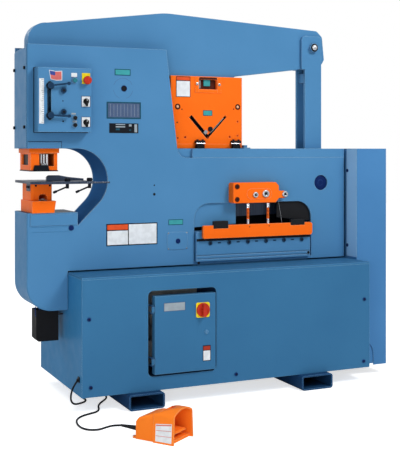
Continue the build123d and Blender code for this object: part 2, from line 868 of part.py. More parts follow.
with BuildPart() as stripper_housing:
    with BuildSketch(level(housing_bottom)):
        area(left + housing_left, left + housing_right, front + housing_front, front + housing_back)
    extrude(amount=head_bottom - housing_bottom)
    with BuildSketch(level(flange_level)):
        area(left + housing_left - 8, left + housing_right + 8, front + housing_front - 8, front + housing_back)
    extrude(amount=head_bottom - flange_level)
    fillet(stripper_housing.edges().filter_by(Axis.Z).group_by(Axis.Y)[0], 6)
    with BuildSketch(level(housing_bottom)):
        inner_left = left + housing_left + housing_wall
        inner_right = left + housing_right - housing_wall
        inner_front = front + housing_front + housing_wall
        inner_back = front + housing_back - housing_wall
        area(inner_left, inner_right, inner_front, inner_back)
    extrude(amount=head_bottom - housing_bottom, mode=Mode.SUBTRACT)
    with BuildSketch(across(front + housing_front + housing_wall)):
        area(left + front_window[0], left + front_window[1], *front_window[2:])
    extrude(amount=housing_wall, mode=Mode.SUBTRACT)
    with BuildSketch(along(left + housing_left)):
        area(front + side_window[0], front + side_window[1], *side_window[2:])
    extrude(amount=housing_wall, mode=Mode.SUBTRACT)
save(stripper_housing, "stripper_housing")

stripper_thickness = 5.0
stripper_slot = punch_radius + 4.5
guide_foot = (-166.0, -86.0)     # plate standing on the stripper plate's front edge
guide_head = (-158.0, -92.0)
guide_top = 1148.0

with BuildPart() as stripper_plate:
    with BuildSketch(level(housing_bottom - stripper_thickness)) as outline:
        area(left + housing_left - 3, left + housing_right + 3, front + housing_front - 3, front + housing_back)
        disc(punch_x, punch_y, stripper_slot, mode=Mode.SUBTRACT)
        area(punch_x - stripper_slot, punch_x + stripper_slot, front + housing_front - 3, punch_y,
             mode=Mode.SUBTRACT)
    extrude(amount=stripper_thickness)
    with BuildSketch(across(front + housing_front)):
        with BuildLine():
            guide_bottom = housing_bottom - stripper_thickness
            Polyline(
                (left + guide_foot[0], guide_bottom),
                (left + guide_foot[1], guide_bottom),
                (left + guide_head[1], guide_top),
                (left + guide_head[0], guide_top),
                (left + guide_foot[0], guide_bottom),
            )
        make_face()
    extrude(amount=9)
save(stripper_plate, "stripper_plate")

bolster_left = -177.0
bolster_right = -61.0
bolster_foot = -69.0     # its right side leans outwards
bolster_front = 217.0
bolster_back = 437.0
bolster_top = 977.0

with BuildPart() as bolster:
    with BuildSketch(across(front + bolster_back)):
        with BuildLine():
            Polyline(
                (left + bolster_left, jaw_top),
                (left + bolster_foot, jaw_top),
                (left + bolster_right, bolster_top),
                (left + bolster_left, bolster_top),
                (left + bolster_left, jaw_top),
            )
        make_face()
    extrude(amount=bolster_back - bolster_front)
    with BuildSketch(level(jaw_top)):
        disc(punch_x, punch_y, slug_bore)
    extrude(amount=bolster_top - jaw_top, mode=Mode.SUBTRACT)
save(bolster, "bolster")

holder_left = -172.0
holder_right = -68.0
holder_front = 255.0
holder_back = 425.0
die_radius = 26.0
die_seat = 1040.0
block_seat = (272.0, 346.0, 1022.0)      # y from, y to and bottom of the pocket in its left side
block_depth = 20.0
slug_arch = (-135.0, -95.0, 1008.0)      # opening in its front, down to the bolster

with BuildPart() as die_holder:
    with BuildSketch(level(bolster_top)) as outline:
        area(left + holder_left, left + holder_right, front + holder_front, front + holder_back)
        corners = [(left + holder_right, front + holder_front), (left + holder_left, front + holder_front)]
        fillet(near(outline, *corners), 14)
        disc(punch_x, punch_y, slug_bore, mode=Mode.SUBTRACT)
    extrude(amount=table_top - table_thickness - bolster_top)
    with BuildSketch(level(die_seat)):
        disc(punch_x, punch_y, die_radius + 0.1)
    extrude(amount=table_top - table_thickness - die_seat, mode=Mode.SUBTRACT)
    with BuildSketch(along(left + holder_left)):
        area(front + block_seat[0], front + block_seat[1], block_seat[2], table_top)
    extrude(amount=block_depth, mode=Mode.SUBTRACT)
    with BuildSketch(across(punch_y)) as arch:
        area(left + slug_arch[0], left + slug_arch[1], bolster_top, slug_arch[2])
        fillet(near(arch, (left + slug_arch[0], slug_arch[2]), (left + slug_arch[1], slug_arch[2])), 14)
    extrude(amount=punch_along - holder_front, mode=Mode.SUBTRACT)
save(die_holder, "die_holder")

die_land = 8.0

with BuildPart() as die:
    with BuildSketch(level(die_seat)):
        disc(punch_x, punch_y, die_radius)
    extrude(amount=table_top - die_seat)
    chamfer(die.edges().group_by(Axis.Z)[-1], 1)
    with BuildSketch(level(die_seat)):
        disc(punch_x, punch_y, punch_radius + 0.5)
    extrude(amount=table_top - die_seat, mode=Mode.SUBTRACT)
    with BuildSketch(level(die_seat)):
        disc(punch_x, punch_y, punch_radius + 3)
    extrude(amount=table_top - die_seat - die_land, mode=Mode.SUBTRACT)
save(die, "die")

table_left = -198.0
table_right = 105.0
table_front = 130.0
table_back = 470.0
table_knobs = ((-22.0, 160.0), (88.0, 160.0))
knob_radius = 13.0
lever_shaft = 6.0

with BuildPart() as punch_table:
    plane = level(table_top - table_thickness)
    with BuildSketch(plane) as outline:
        area(left + table_left, left + table_right, front + table_front, front + table_back)
        chamfer(near(outline, (left + table_left, front + table_front)), 40)
        chamfer(near(outline, (left + table_right, front + table_front)), 12)
        disc(punch_x, punch_y, die_radius + 0.5, mode=Mode.SUBTRACT)
        for knob_x, knob_y in table_knobs:
            disc(left + knob_x, front + knob_y, lever_shaft + running_gap, mode=Mode.SUBTRACT)
    extrude(amount=table_thickness)
    with BuildSketch(level(table_top)):
        area(left - 60, left + table_right - 6, front + 290, front + 306)
    extrude(amount=9)
save(punch_table, "punch_table")

lever_reach = (-66.0, -22.0)
lever_drop = 22.0
hub_height = 22.0


def table_lever(label, place):
    """Clamp under the work table: knob above, shaft through the table, arm with a thick end below."""
    centre_x = left + place[0]
    centre_y = front + place[1]
    underside = table_top - table_thickness - running_gap
    hub_bottom = underside - hub_height
    ball = (centre_x + lever_reach[0], centre_y + lever_reach[1], hub_bottom + 8 - lever_drop)
    with BuildPart() as lever:
        with BuildSketch(level(hub_bottom)):
            disc(centre_x, centre_y, 8)
        extrude(amount=hub_height)
        with BuildSketch(level(hub_bottom)):
            disc(centre_x, centre_y, lever_shaft)
        extrude(amount=table_top + running_gap - hub_bottom)
        with BuildSketch(level(table_top + running_gap)):
            disc(centre_x, centre_y, knob_radius)
        extrude(amount=16)
        fillet(lever.edges().group_by(Axis.Z)[-1], 4)
        root = Vector(centre_x, centre_y, hub_bottom + 9)
        run = Vector(*ball) - root
        with BuildSketch(Plane(origin=root, z_dir=run)):
            Circle(4)
        extrude(amount=run.length)
        with BuildSketch(Plane(origin=Vector(*ball) - run.normalized() * 7, z_dir=run)):
            Circle(6)
        extrude(amount=16)
    save(lever, label)


table_lever("table_lever_left", table_knobs[0])
table_lever("table_lever_right", table_knobs[1])


# Slug bin on the base's left side

bin_left = -136.0
bin_right = -25.0
bin_front = 300.0
bin_back = 385.0
bin_bottom = 293.0
bin_top = 446.0
bin_wall = 3.0
bin_corner = 12.0

with BuildPart() as slug_bin:
    plane = across(front + bin_back)
    with BuildSketch(plane) as outline:
        area(left + bin_left, left + bin_right, bin_bottom, bin_top)
        chamfer(near(outline, (left + bin_left, bin_bottom)), bin_corner)
    extrude(amount=bin_back - bin_front)
    plane = across(front + bin_back - bin_wall)
    with BuildSketch(plane) as outline:
        area(left + bin_left + bin_wall, left + bin_right - bin_wall, bin_bottom + bin_wall, bin_top)
        chamfer(near(outline, (left + bin_left + bin_wall, bin_bottom + bin_wall)), bin_corner - 1)
    extrude(amount=bin_back - bin_front - 2 * bin_wall, mode=Mode.SUBTRACT)
    for hook_y in (front + bin_front + 15, front + bin_back - 15):
        with BuildSketch(level(bin_top - 30)):
            area(left + bin_right, left, hook_y - 8, hook_y + 8)
        extrude(amount=4)
save(slug_bin, "slug_bin")


# Control panel and its controls

panel_y = front + plate_front - panel_depth
slot_x = -110.0
slot_ends = (1362.0, 1544.0)
slot_width = 14.0
estop_place = (69.0, 1553.0)
start_place = (11.0, 1552.0)
selector_places = ((67.5, 1453.0), (67.5, 1353.0))
jog_places = ((12.0, 1373.0), (12.0, 1339.0))
start_radius = 11.0
jog_radius = 10.0
stem_radius = 8.0
selector_stem = 6.0
collar_height = 8.0
hex_knobs = ((-43.0, 1502.0), (-43.0, 1401.0))

with BuildPart() as control_panel:
    with BuildSketch(across(plate_face)):
        area(left + panel_left, left + panel_right, panel_bottom, panel_top)
    extrude(amount=panel_depth)
    fillet(control_panel.edges().filter_by(Axis.Z).group_by(Axis.Y)[0], 5)
    with BuildSketch(across(plate_face)):
        inner_left = left + panel_left + panel_sheet
        inner_right = left + panel_right - panel_sheet
        area(inner_left, inner_right, panel_bottom + panel_sheet, panel_top - panel_sheet)
    extrude(amount=panel_depth - panel_sheet, mode=Mode.SUBTRACT)
    with BuildSketch(across(panel_y)):
        disc(left + estop_place[0], estop_place[1], stem_radius + 7)
        disc(left + start_place[0], start_place[1], start_radius + 3)
        for jog_x, jog_z in jog_places:
            disc(left + jog_x, jog_z, jog_radius + 3)
    extrude(amount=collar_height)
    with BuildSketch(across(panel_y)):
        for knob_x, knob_z in hex_knobs:
            with Locations((left + knob_x, knob_z)):
                RegularPolygon(12, 6)
    extrude(amount=collar_height)
    with BuildSketch(across(panel_y + panel_sheet)):
        disc(left + estop_place[0], estop_place[1], stem_radius + running_gap)
        disc(left + start_place[0], start_place[1], start_radius + running_gap)
        for jog_x, jog_z in jog_places:
            disc(left + jog_x, jog_z, jog_radius + running_gap)
        for knob_x, knob_z in selector_places:
            disc(left + knob_x, knob_z, selector_stem + running_gap)
        bar((left + slot_x, slot_ends[0]), (left + slot_x, slot_ends[1]), slot_width)
    extrude(amount=panel_sheet + collar_height, mode=Mode.SUBTRACT)
save(control_panel, "control_panel")

mushroom_radius = 20.0
mushroom_gap = 12.0

with BuildPart() as emergency_stop:
    centre = (left + estop_place[0], estop_place[1])
    with BuildSketch(across(panel_y + panel_sheet + 3)):
        disc(*centre, stem_radius)
    extrude(amount=panel_sheet + 3 + collar_height + mushroom_gap)
    with BuildSketch(across(panel_y - collar_height - 7)):
        disc(*centre, mushroom_radius)
    extrude(amount=15)
    fillet(emergency_stop.edges().group_by(Axis.Y)[0], 5)
save(emergency_stop, "emergency_stop")


def push_button(label, place, radius):
    """Flush button in its collar, standing a little out of it."""
    with BuildPart() as button:
        with BuildSketch(across(panel_y + panel_sheet + 5)):
            disc(left + place[0], place[1], radius)
        extrude(amount=panel_sheet + 5 + collar_height + 5)
        fillet(button.edges().group_by(Axis.Y)[0], 2)
    save(button, label)


push_button("start_button", start_place, start_radius)
push_button("jog_button_upper", jog_places[0], jog_radius)
push_button("jog_button_lower", jog_places[1], jog_radius)

selector_radius = 14.0
selector_collar = 6.0


def selector(label, place):
    """Selector switch: a round skirt with a grip bar across it, on a stem through the panel."""
    centre = (left + place[0], place[1])
    with BuildPart() as knob:
        with BuildSketch(across(panel_y + panel_sheet + 3)):
            disc(*centre, selector_stem)
        extrude(amount=panel_sheet + 3 + running_gap)
        with BuildSketch(across(panel_y - running_gap)):
            disc(*centre, selector_radius)
        extrude(amount=selector_collar)
        with BuildSketch(across(panel_y - running_gap - selector_collar)):
            with Locations(centre):
                SlotOverall(2 * selector_radius - 3, 9, rotation=90)
        extrude(amount=13)
    save(knob, label)


selector("selector_upper", selector_places[0])
selector("selector_lower", selector_places[1])

stop_heights = (1523.0, 1384.0)
stop_radius = 18.0
stop_plate = 14.0
lever_gap = 0.4
clamp_arm = 88.0


def stroke_stop(label, height):
    """Slider in the panel's slot: boss in front, guided neck, keeper plate behind."""
    with BuildPart() as stop:
        with BuildSketch(across(panel_y - running_gap)):
            disc(left + slot_x, height, stop_radius)
        extrude(amount=stop_plate)
        with BuildSketch(across(panel_y + panel_sheet + running_gap)):
            area(left + slot_x - slot_width / 2 + 0.5, left + slot_x + slot_width / 2 - 0.5, height - 12, height + 12)
        extrude(amount=panel_sheet + 2 * running_gap)
        with BuildSketch(across(panel_y + panel_sheet + running_gap + 5)):
            area(left + slot_x - 12, left + slot_x + 12, height - 15, height + 15)
        extrude(amount=5)
    save(stop, label)


def clamp_lever(label, height, tilt):
    """Lever that locks a stroke stop: hub and a tapering arm with a round end."""
    hub_face = panel_y - running_gap - stop_plate - lever_gap
    rise = clamp_arm * math.sin(math.radians(tilt))
    reach = clamp_arm * math.cos(math.radians(tilt))
    with BuildPart() as lever:
        with BuildSketch(across(hub_face)):
            disc(left + slot_x, height, 15)
        extrude(amount=14)
        with BuildSketch(across(hub_face - 3)):
            bar((left + slot_x, height), (left + slot_x + reach, height + rise), 9)
            disc(left + slot_x + reach, height + rise, 8)
        extrude(amount=10)
    save(lever, label)


stroke_stop("stroke_stop_upper", stop_heights[0])
stroke_stop("stroke_stop_lower", stop_heights[1])
clamp_lever("clamp_lever_upper", stop_heights[0], 8)
clamp_lever("clamp_lever_lower", stop_heights[1], -2)


# Electric enclosure, its door, disconnect and latch

flange = 5.0
box_sheet = 3.0
hinge_x = 345.0
hinge_y = -14.0
hinge_levels = (215.0, 463.0)
hinge_length = 26.0
hinge_pin = 3.0
knuckle = 6.0

with BuildPart() as electric_box:
    box_front = front + cover_sheet
    with BuildSketch(across(front + enclosure_depth)):
        area(left + opening_left - flange, left + opening_right + flange, opening_bottom - flange, opening_top + flange)
    extrude(amount=enclosure_depth - cover_sheet)
    with BuildSketch(across(front + enclosure_depth - box_sheet)):
        inner_left = left + opening_left - flange + box_sheet
        inner_right = left + opening_right + flange - box_sheet
        area(inner_left, inner_right, opening_bottom - flange + box_sheet, opening_top + flange - box_sheet)
    extrude(amount=enclosure_depth - cover_sheet - box_sheet, mode=Mode.SUBTRACT)
    for hinge_z in hinge_levels:
        with BuildSketch(level(hinge_z - hinge_length / 2 - 8)):
            disc(left + hinge_x, front + hinge_y, hinge_pin)
        extrude(amount=hinge_length + 16)
        for ear_z in (hinge_z - hinge_length / 2 - 8, hinge_z + hinge_length / 2 + 2):
            with BuildSketch(level(ear_z)):
                disc(left + hinge_x, front + hinge_y, knuckle)
                area(left + hinge_x - knuckle, left + hinge_x - 2, front + hinge_y, box_front + 20)
                area(left + opening_left - flange, left + hinge_x - 2, box_front + 12, box_front + 20)
            extrude(amount=6)
save(electric_box, "electric_box")

with BuildPart() as electric_gear:
    gear_back = front + enclosure_depth - box_sheet
    with BuildSketch(across(gear_back)):
        area(left + opening_left + 20, left + opening_right - 20, opening_bottom + 20, opening_top - 20)
    extrude(amount=3)
    plate_y = gear_back - 3
    for rail_z in (250.0, 420.0):
        with BuildSketch(across(plate_y)):
            area(left + opening_left + 30, left + opening_right - 30, rail_z - 17, rail_z + 17)
        extrude(amount=7)
    with BuildSketch(across(plate_y - 7)):
        with Locations((left + 430, 250)):
            with GridLocations(52, 10, 3, 1):
                Rectangle(45, 80)
        with Locations((left + 590, 250)):
            Rectangle(90, 96)
        with Locations((left + 440, 420)):
            with GridLocations(20, 10, 6, 1):
                Rectangle(17.5, 82)
    extrude(amount=62)
save(electric_gear, "electric_gear")

door_pan = 2.0
disconnect_place = (604.0, 446.0)
latch_place = (624.0, 337.0)
disconnect_plate = 70.0
disconnect_stem = 7.0
latch_radius = 9.0
latch_cam = 21.0

with BuildPart() as enclosure_door:
    door_face = front - door_proud
    door_inner = door_face + door_thickness
    plane = across(door_inner)
    with BuildSketch(plane):
        area(left + door_left, left + door_right, door_bottom, door_top)
    extrude(amount=door_thickness)
    fillet(enclosure_door.edges().filter_by(Axis.Z).group_by(Axis.Y)[0], 3)
    with BuildSketch(plane):
        area(left + door_left + door_pan, left + door_right - door_pan, door_bottom + door_pan, door_top - door_pan)
    extrude(amount=door_thickness - door_pan, mode=Mode.SUBTRACT)
    with BuildSketch(across(door_face)):
        with Locations((left + disconnect_place[0], disconnect_place[1])):
            RectangleRounded(disconnect_plate, disconnect_plate, 3)
    extrude(amount=4)
    for hinge_z in hinge_levels:
        with BuildSketch(level(hinge_z - hinge_length / 2)):
            disc(left + hinge_x, front + hinge_y, knuckle)
            area(left + hinge_x, left + door_left + door_pan, front + hinge_y + 2, front + hinge_y + 6)
        extrude(amount=hinge_length)
        with BuildSketch(level(hinge_z - hinge_length / 2)):
            disc(left + hinge_x, front + hinge_y, hinge_pin + running_gap)
        extrude(amount=hinge_length, mode=Mode.SUBTRACT)
    with BuildSketch(across(door_face + door_pan)):
        disc(left + disconnect_place[0], disconnect_place[1], disconnect_stem + running_gap)
        disc(left + latch_place[0], latch_place[1], latch_radius + running_gap)
    extrude(amount=door_pan + 4, mode=Mode.SUBTRACT)
save(enclosure_door, "enclosure_door")

disconnect_radius = 34.0

with BuildPart() as disconnect_knob:
    centre = (left + disconnect_place[0], disconnect_place[1])
    knob_back = door_face - 4 - running_gap
    with BuildSketch(across(door_face + door_pan + 5)):
        disc(*centre, disconnect_stem)
    extrude(amount=door_pan + 9 + running_gap)
    with BuildSketch(across(knob_back)):
        disc(*centre, disconnect_radius)
    extrude(amount=9)
    fillet(disconnect_knob.edges().group_by(Axis.Y)[0], 3)
    with BuildSketch(across(knob_back - 9)):
        with Locations(centre):
            SlotOverall(2 * disconnect_radius - 6, 18, rotation=90)
    extrude(amount=18)
save(disconnect_knob, "disconnect_knob")

with BuildPart() as door_latch:
    centre = (left + latch_place[0], latch_place[1])
    with BuildSketch(across(door_face + door_pan + 6)):
        disc(*centre, latch_radius)
    extrude(amount=door_pan + 6 + 4)
    with BuildSketch(across(door_face - 4 + 3)):
        with Locations(centre):
            Rectangle(3, 12)
    extrude(amount=3, mode=Mode.SUBTRACT)
    with BuildSketch(across(door_face + door_pan + 6)):
        area(left + latch_place[0] - 6, left + latch_place[0] + 6, latch_place[1], latch_place[1] + latch_cam)
    extrude(amount=3)
save(door_latch, "door_latch")


# Hydraulic set inside the base

tank_area = (900.0, 1320.0, base_depth - 280, base_depth - 30)
tank_top = 380.0
tank_wall = 4.0
filler = 25.0
motor_radius = 82.0
motor_length = 270.0
motor_centre = (330.0, base_depth - 160, 190.0)

with BuildPart() as oil_tank:
    tank_floor = skid_height + base_wall
    tank_x0, tank_x1, tank_y0, tank_y1 = tank_area
    with BuildSketch(level(tank_floor)):
        area(left + tank_x0, left + tank_x1, front + tank_y0, front + tank_y1)
    extrude(amount=tank_top - tank_floor)
    fillet(oil_tank.edges().filter_by(Axis.Z), 20)
    with BuildSketch(level(tank_floor + tank_wall)):
        inner = (tank_x0 + tank_wall, tank_x1 - tank_wall, tank_y0 + tank_wall, tank_y1 - tank_wall)
        area(left + inner[0], left + inner[1], front + inner[2], front + inner[3])
    extrude(amount=tank_top - tank_floor - 2 * tank_wall, mode=Mode.SUBTRACT)
    with BuildSketch(level(tank_top - tank_wall)):
        disc(left + tank_x1 - 60, front + tank_y1 - 60, filler)
    extrude(amount=tank_wall, mode=Mode.SUBTRACT)
save(oil_tank, "oil_tank")

with BuildPart() as pump_set:
    motor_x, motor_y, motor_z = motor_centre
    with BuildSketch(along(left + motor_x)):
        disc(front + motor_y, motor_z, motor_radius - 6)
        with Locations((front + motor_y, motor_z)):
            with PolarLocations(motor_radius - 6, 24):
                Rectangle(12, 4)
    extrude(amount=motor_length)
    with BuildSketch(along(left + motor_x + motor_length)):
        disc(front + motor_y, motor_z, motor_radius)
    extrude(amount=18)
    with BuildSketch(along(left + motor_x + motor_length + 18)):
        with Locations((front + motor_y, motor_z)):
            RectangleRounded(90, 110, 10)
    extrude(amount=110)
    with BuildSketch(along(left + motor_x - 30)):
        disc(front + motor_y, motor_z, motor_radius - 4)
    extrude(amount=30)
    with BuildSketch(level(skid_height + base_wall)):
        for foot_y in (front + motor_y - 55, front + motor_y + 55):
            area(left + motor_x + 40, left + motor_x + 230, foot_y - 14, foot_y + 14)
    extrude(amount=60)
    with BuildSketch(level(motor_z + motor_radius - 12)):
        area(left + motor_x + 70, left + motor_x + 160, front + motor_y - 45, front + motor_y + 45)
    extrude(amount=58)
save(pump_set, "pump_set")


# Foot switch on the floor

pedal_heading = -54.5
pedal_origin = (left + 155.5, front - 403.0, 0.0)
pedal_length = 192.0
pedal_height = 142.0
pedal_wall = 7.0
hood_start = 92.0
hood_section = (82.0, 75.0, 118.0)       # half width at the floor, half width and height of its corners
box_section = (73.0, 70.0, 110.0)        # the same of the lower box behind it
pedal_base = 12.0
base_reach = 176.0
treadle_pivot = (78.0, 34.0)
treadle_half = 56.0
treadle_reach = 172.0
heading = math.radians(pedal_heading)
pedal_axis = Vector(math.cos(heading), math.sin(heading), 0)
pedal_side = Vector(-math.sin(heading), math.cos(heading), 0)


def pedal_plane(offset):
    """Upright plane along the foot switch, offset to its right, with x towards its mouth."""
    origin = Vector(*pedal_origin) + pedal_side * offset
    return Plane(origin=origin, x_dir=pedal_axis, z_dir=-pedal_side)


def pedal_section(distance):
    """Upright plane across the foot switch; what is extruded from it grows towards its mouth."""
    origin = Vector(*pedal_origin) + pedal_axis * distance
    return Plane(origin=origin, x_dir=pedal_side, z_dir=pedal_axis)


def hood_lines(wall, floor):
    """Outline across the hood, moved inwards by its wall and cut off at a floor."""
    foot, corner, height = hood_section
    lean = (foot - corner) / height
    foot_x = foot - wall - lean * floor
    corner_x = corner - wall
    corner_z = height - wall / 2
    Polyline((-corner_x, corner_z), (-foot_x, floor), (foot_x, floor), (corner_x, corner_z))
    ThreePointArc((corner_x, corner_z), (0, pedal_height - wall), (-corner_x, corner_z))


with BuildPart() as pedal_body:
    box_foot, box_corner, box_height = box_section
    with BuildSketch(pedal_section(0)) as across_box:
        with BuildLine():
            Polyline(
                (-box_foot, 0),
                (box_foot, 0),
                (box_corner, box_height),
                (-box_corner, box_height),
                (-box_foot, 0),
            )
        make_face()
        fillet(near(across_box, (box_corner, box_height), (-box_corner, box_height)), 26)
    extrude(amount=hood_start + 2)
    with BuildSketch(pedal_section(hood_start)) as across_hood:
        with BuildLine():
            hood_lines(0, 0)
        make_face()
        corner = hood_section[1:]
        fillet(near(across_hood, corner, (-corner[0], corner[1])), 18)
    extrude(amount=pedal_length - hood_start)
    with BuildSketch(pedal_plane(hood_section[0] + 1)) as profile:
        with BuildLine():
            ThreePointArc((pedal_length, pedal_height), (146, 135), (hood_start, 118))
            Polyline(
                (hood_start, 118),
                (16, 94),
                (0, 74),
                (0, 0),
                (pedal_length, 0),
                (pedal_length, pedal_height),
            )
        make_face()
        fillet(near(profile, (16, 94), (0, 74)), 12)
    extrude(amount=2 * hood_section[0] + 2, mode=Mode.INTERSECT)
    with BuildSketch(pedal_section(hood_start + pedal_wall)) as across_mouth:
        with BuildLine():
            hood_lines(pedal_wall, pedal_base)
        make_face()
        corner = (hood_section[1] - pedal_wall, hood_section[2] - pedal_wall / 2)
        fillet(near(across_mouth, corner, (-corner[0], corner[1])), 12)
    extrude(amount=pedal_length, mode=Mode.SUBTRACT)
    with BuildSketch(pedal_plane(hood_section[1])):
        area(base_reach, pedal_length + 1, -1, pedal_base + 1)
    extrude(amount=2 * hood_section[1], mode=Mode.SUBTRACT)
    lug_plane = Plane(origin=Vector(*pedal_origin), x_dir=pedal_axis, z_dir=(0, 0, 1))
    lug_offset = box_foot - 16
    with BuildSketch(lug_plane):
        with Locations((-6, -lug_offset), (-6, lug_offset)):
            SlotOverall(34, 22)
        with Locations((-12, -lug_offset), (-12, lug_offset)):
            Circle(5, mode=Mode.SUBTRACT)
    extrude(amount=8)
    pocket = treadle_half + 3
    with BuildSketch(pedal_plane(pocket)):
        area(treadle_pivot[0] - 16, hood_start + pedal_wall + 1, pedal_base, 60)
    extrude(amount=2 * pocket, mode=Mode.SUBTRACT)
    with BuildSketch(pedal_plane(pocket + 2)):
        disc(*treadle_pivot, 5)
    extrude(amount=2 * pocket + 4)
save(pedal_body, "pedal_body")

with BuildPart() as treadle:
    with BuildSketch(pedal_plane(treadle_half)):
        with BuildLine():
            Polyline(
                treadle_pivot,
                (treadle_pivot[0], treadle_pivot[1] + 8),
                (treadle_reach - 8, treadle_pivot[1] + 6),
                (treadle_reach, treadle_pivot[1]),
                (treadle_reach - 8, treadle_pivot[1] - 2),
                (treadle_pivot[0], treadle_pivot[1] - 5),
                treadle_pivot,
            )
        make_face()
        disc(*treadle_pivot, 9)
        disc(*treadle_pivot, 5 + running_gap, mode=Mode.SUBTRACT)
    extrude(amount=2 * treadle_half)
save(treadle, "treadle")


# Cord between the base and the foot switch, with its gland and strain relief

cord_route = [
    (-10, 45, 146), (-27, 50, 121), (-34, 60, 88), (-30, 80, 56), (-14, 108, 31), (10, 142, 14),
    (42, 174, 6.5), (76, 198, 5.4), (94, 232, 5.3), (88, 273, 5.4), (100, 314, 5.3), (138, 338, 5.4),
    (181, 333, 5.3), (207, 301, 5.4), (206, 257, 5.3), (190, 214, 5.4), (160, 176, 5.3), (130, 136, 5.4),
    (108, 92, 5.3), (98, 44, 5.4), (74, 4, 5.3), (30, -14, 5.4), (-14, -36, 5.3), (-48, -76, 5.4),
    (-66, -128, 5.3), (-72, -180, 5.4), (-68, -226, 5.3), (-46, -262, 5.4), (-8, -278, 7),
    (20, -296, 20), (39, -331, 34), (60.5, -366.3, 41),
]
route = [Vector(left + x, front + y, z) for x, y, z in cord_route]
bend_share = 0.45


def bend_radius(before, at, after):
    """Largest arc that two neighbouring runs leave room for."""
    turn = math.radians((at - before).get_angle(after - at))
    shorter = min((at - before).length, (after - at).length)
    return bend_share * shorter / math.tan(turn / 2)


bends = [bend_radius(*route[i - 1:i + 2]) for i in range(1, len(route) - 1)]
print("cord bend radii", [round(r) for r in bends])

with BuildPart() as cord:
    with BuildLine() as cord_path:
        FilletPolyline(*route, radius=bends)
    start = cord_path.wire() ^ 0
    with BuildSketch(start):
        Circle(cord_diameter / 2)
    sweep()
print("cord length", round(cord_path.wire().length), "volume over section",
      round(cord.part.volume / (math.pi * cord_diameter ** 2 / 4)))
save(cord, "cord")

gland_radius = 9.0
gland_plate = 4.0

with BuildPart() as cord_gland:
    exit_point = route[0]
    exit_run = (route[1] - route[0]).normalized()
    with BuildSketch(Plane(origin=exit_point - exit_run * 10, z_dir=exit_run)):
        Circle(gland_radius)
    with BuildSketch(Plane(origin=exit_point, z_dir=exit_run)):
        Circle(cord_diameter / 2 + 1.5)
    loft()
    with BuildSketch(along(left)):
        area(gland_y - 30, gland_y + 30, gland_z - 30, gland_z + 30)
    extrude(amount=30, mode=Mode.SUBTRACT)
    with BuildSketch(along(left - gland_plate)):
        with Locations((gland_y, gland_z)):
            RectangleRounded(26, 26, 5)
    extrude(amount=gland_plate)
    with BuildSketch(along(left - gland_plate)):
        disc(gland_y, gland_z, gland_hole - running_gap)
    extrude(amount=gland_plate + base_wall + 4)
save(cord_gland, "cord_gland")

relief_length = 85.0
relief_side = -56.0      # from the foot switch's middle, towards its left
relief_level = 41.0

with BuildPart() as cord_relief:
    relief_root = Vector(*pedal_origin) + pedal_side * relief_side + Vector(0, 0, relief_level)
    with BuildSketch(Plane(origin=relief_root, z_dir=-pedal_axis)):
        Circle(11)
    with BuildSketch(Plane(origin=relief_root - pedal_axis * relief_length / 2, z_dir=-pedal_axis)):
        Circle(8)
    with BuildSketch(Plane(origin=route[-1], z_dir=route[-2] - route[-1])):
        Circle(cord_diameter / 2 + 1)
    loft()
save(cord_relief, "cord_relief")
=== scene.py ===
import math

import bmesh
import bpy
from mathutils import Matrix, Vector


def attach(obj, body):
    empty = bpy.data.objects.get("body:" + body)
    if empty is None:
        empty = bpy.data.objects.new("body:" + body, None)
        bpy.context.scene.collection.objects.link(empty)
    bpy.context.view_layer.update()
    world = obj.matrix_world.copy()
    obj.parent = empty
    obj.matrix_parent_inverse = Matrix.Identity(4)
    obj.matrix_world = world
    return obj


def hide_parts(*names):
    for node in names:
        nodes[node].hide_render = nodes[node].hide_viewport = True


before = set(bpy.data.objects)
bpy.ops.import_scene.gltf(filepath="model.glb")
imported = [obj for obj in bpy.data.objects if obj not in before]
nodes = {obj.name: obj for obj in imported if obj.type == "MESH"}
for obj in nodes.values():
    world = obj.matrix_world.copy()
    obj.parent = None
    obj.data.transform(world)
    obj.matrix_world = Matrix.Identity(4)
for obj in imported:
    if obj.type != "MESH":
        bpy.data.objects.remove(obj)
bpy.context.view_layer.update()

# Millimetres; every place is measured from the base's front left corner at the floor.
LEFT, FRONT = -785.0, -58.3      # that corner in the part's frame
DOOR = -15.0                     # y of the faces that look to the front: enclosure door,
PANEL = 152.0                    # control panel,
BRACKET = 166.0                  # hold-down bracket,
GUARD = 173.0                    # guard bar,
BED_FACE = 200.0                 # shear bed,
FRAME_FACE = 220.0               # front plate
ANGLE_FACE = 280.0               # and angle plate
BLADE_GUARDS = 238.0             # plates in the bar window, in front of the blades
ROD_LINE = 181.5                 # y of the guard's two rods
FRAME_BACK = 376.0               # y of the faces that look to the back: centre plate
REAR_FACE = 460.0                # and rear plate
CABINET_SIDE = 1578.8            # x of the end cabinet's side, beside the frame
JAW_TOP = 920.0                  # z
TABLE_TOP = 1072.0               # z


def at(x, y, z):
    """A place in millimetres from the base's corner as a point of the part's frame, in metres."""
    return Vector(((LEFT + x) / 1000, (FRONT + y) / 1000, z / 1000))


# Materials

def rgb(code):
    """sRGB hex colour as linear values."""
    parts = [int(code[i:i + 2], 16) / 255 for i in (0, 2, 4)]
    return [p / 12.92 if p <= 0.04045 else ((p + 0.055) / 1.055) ** 2.4 for p in parts] + [1.0]


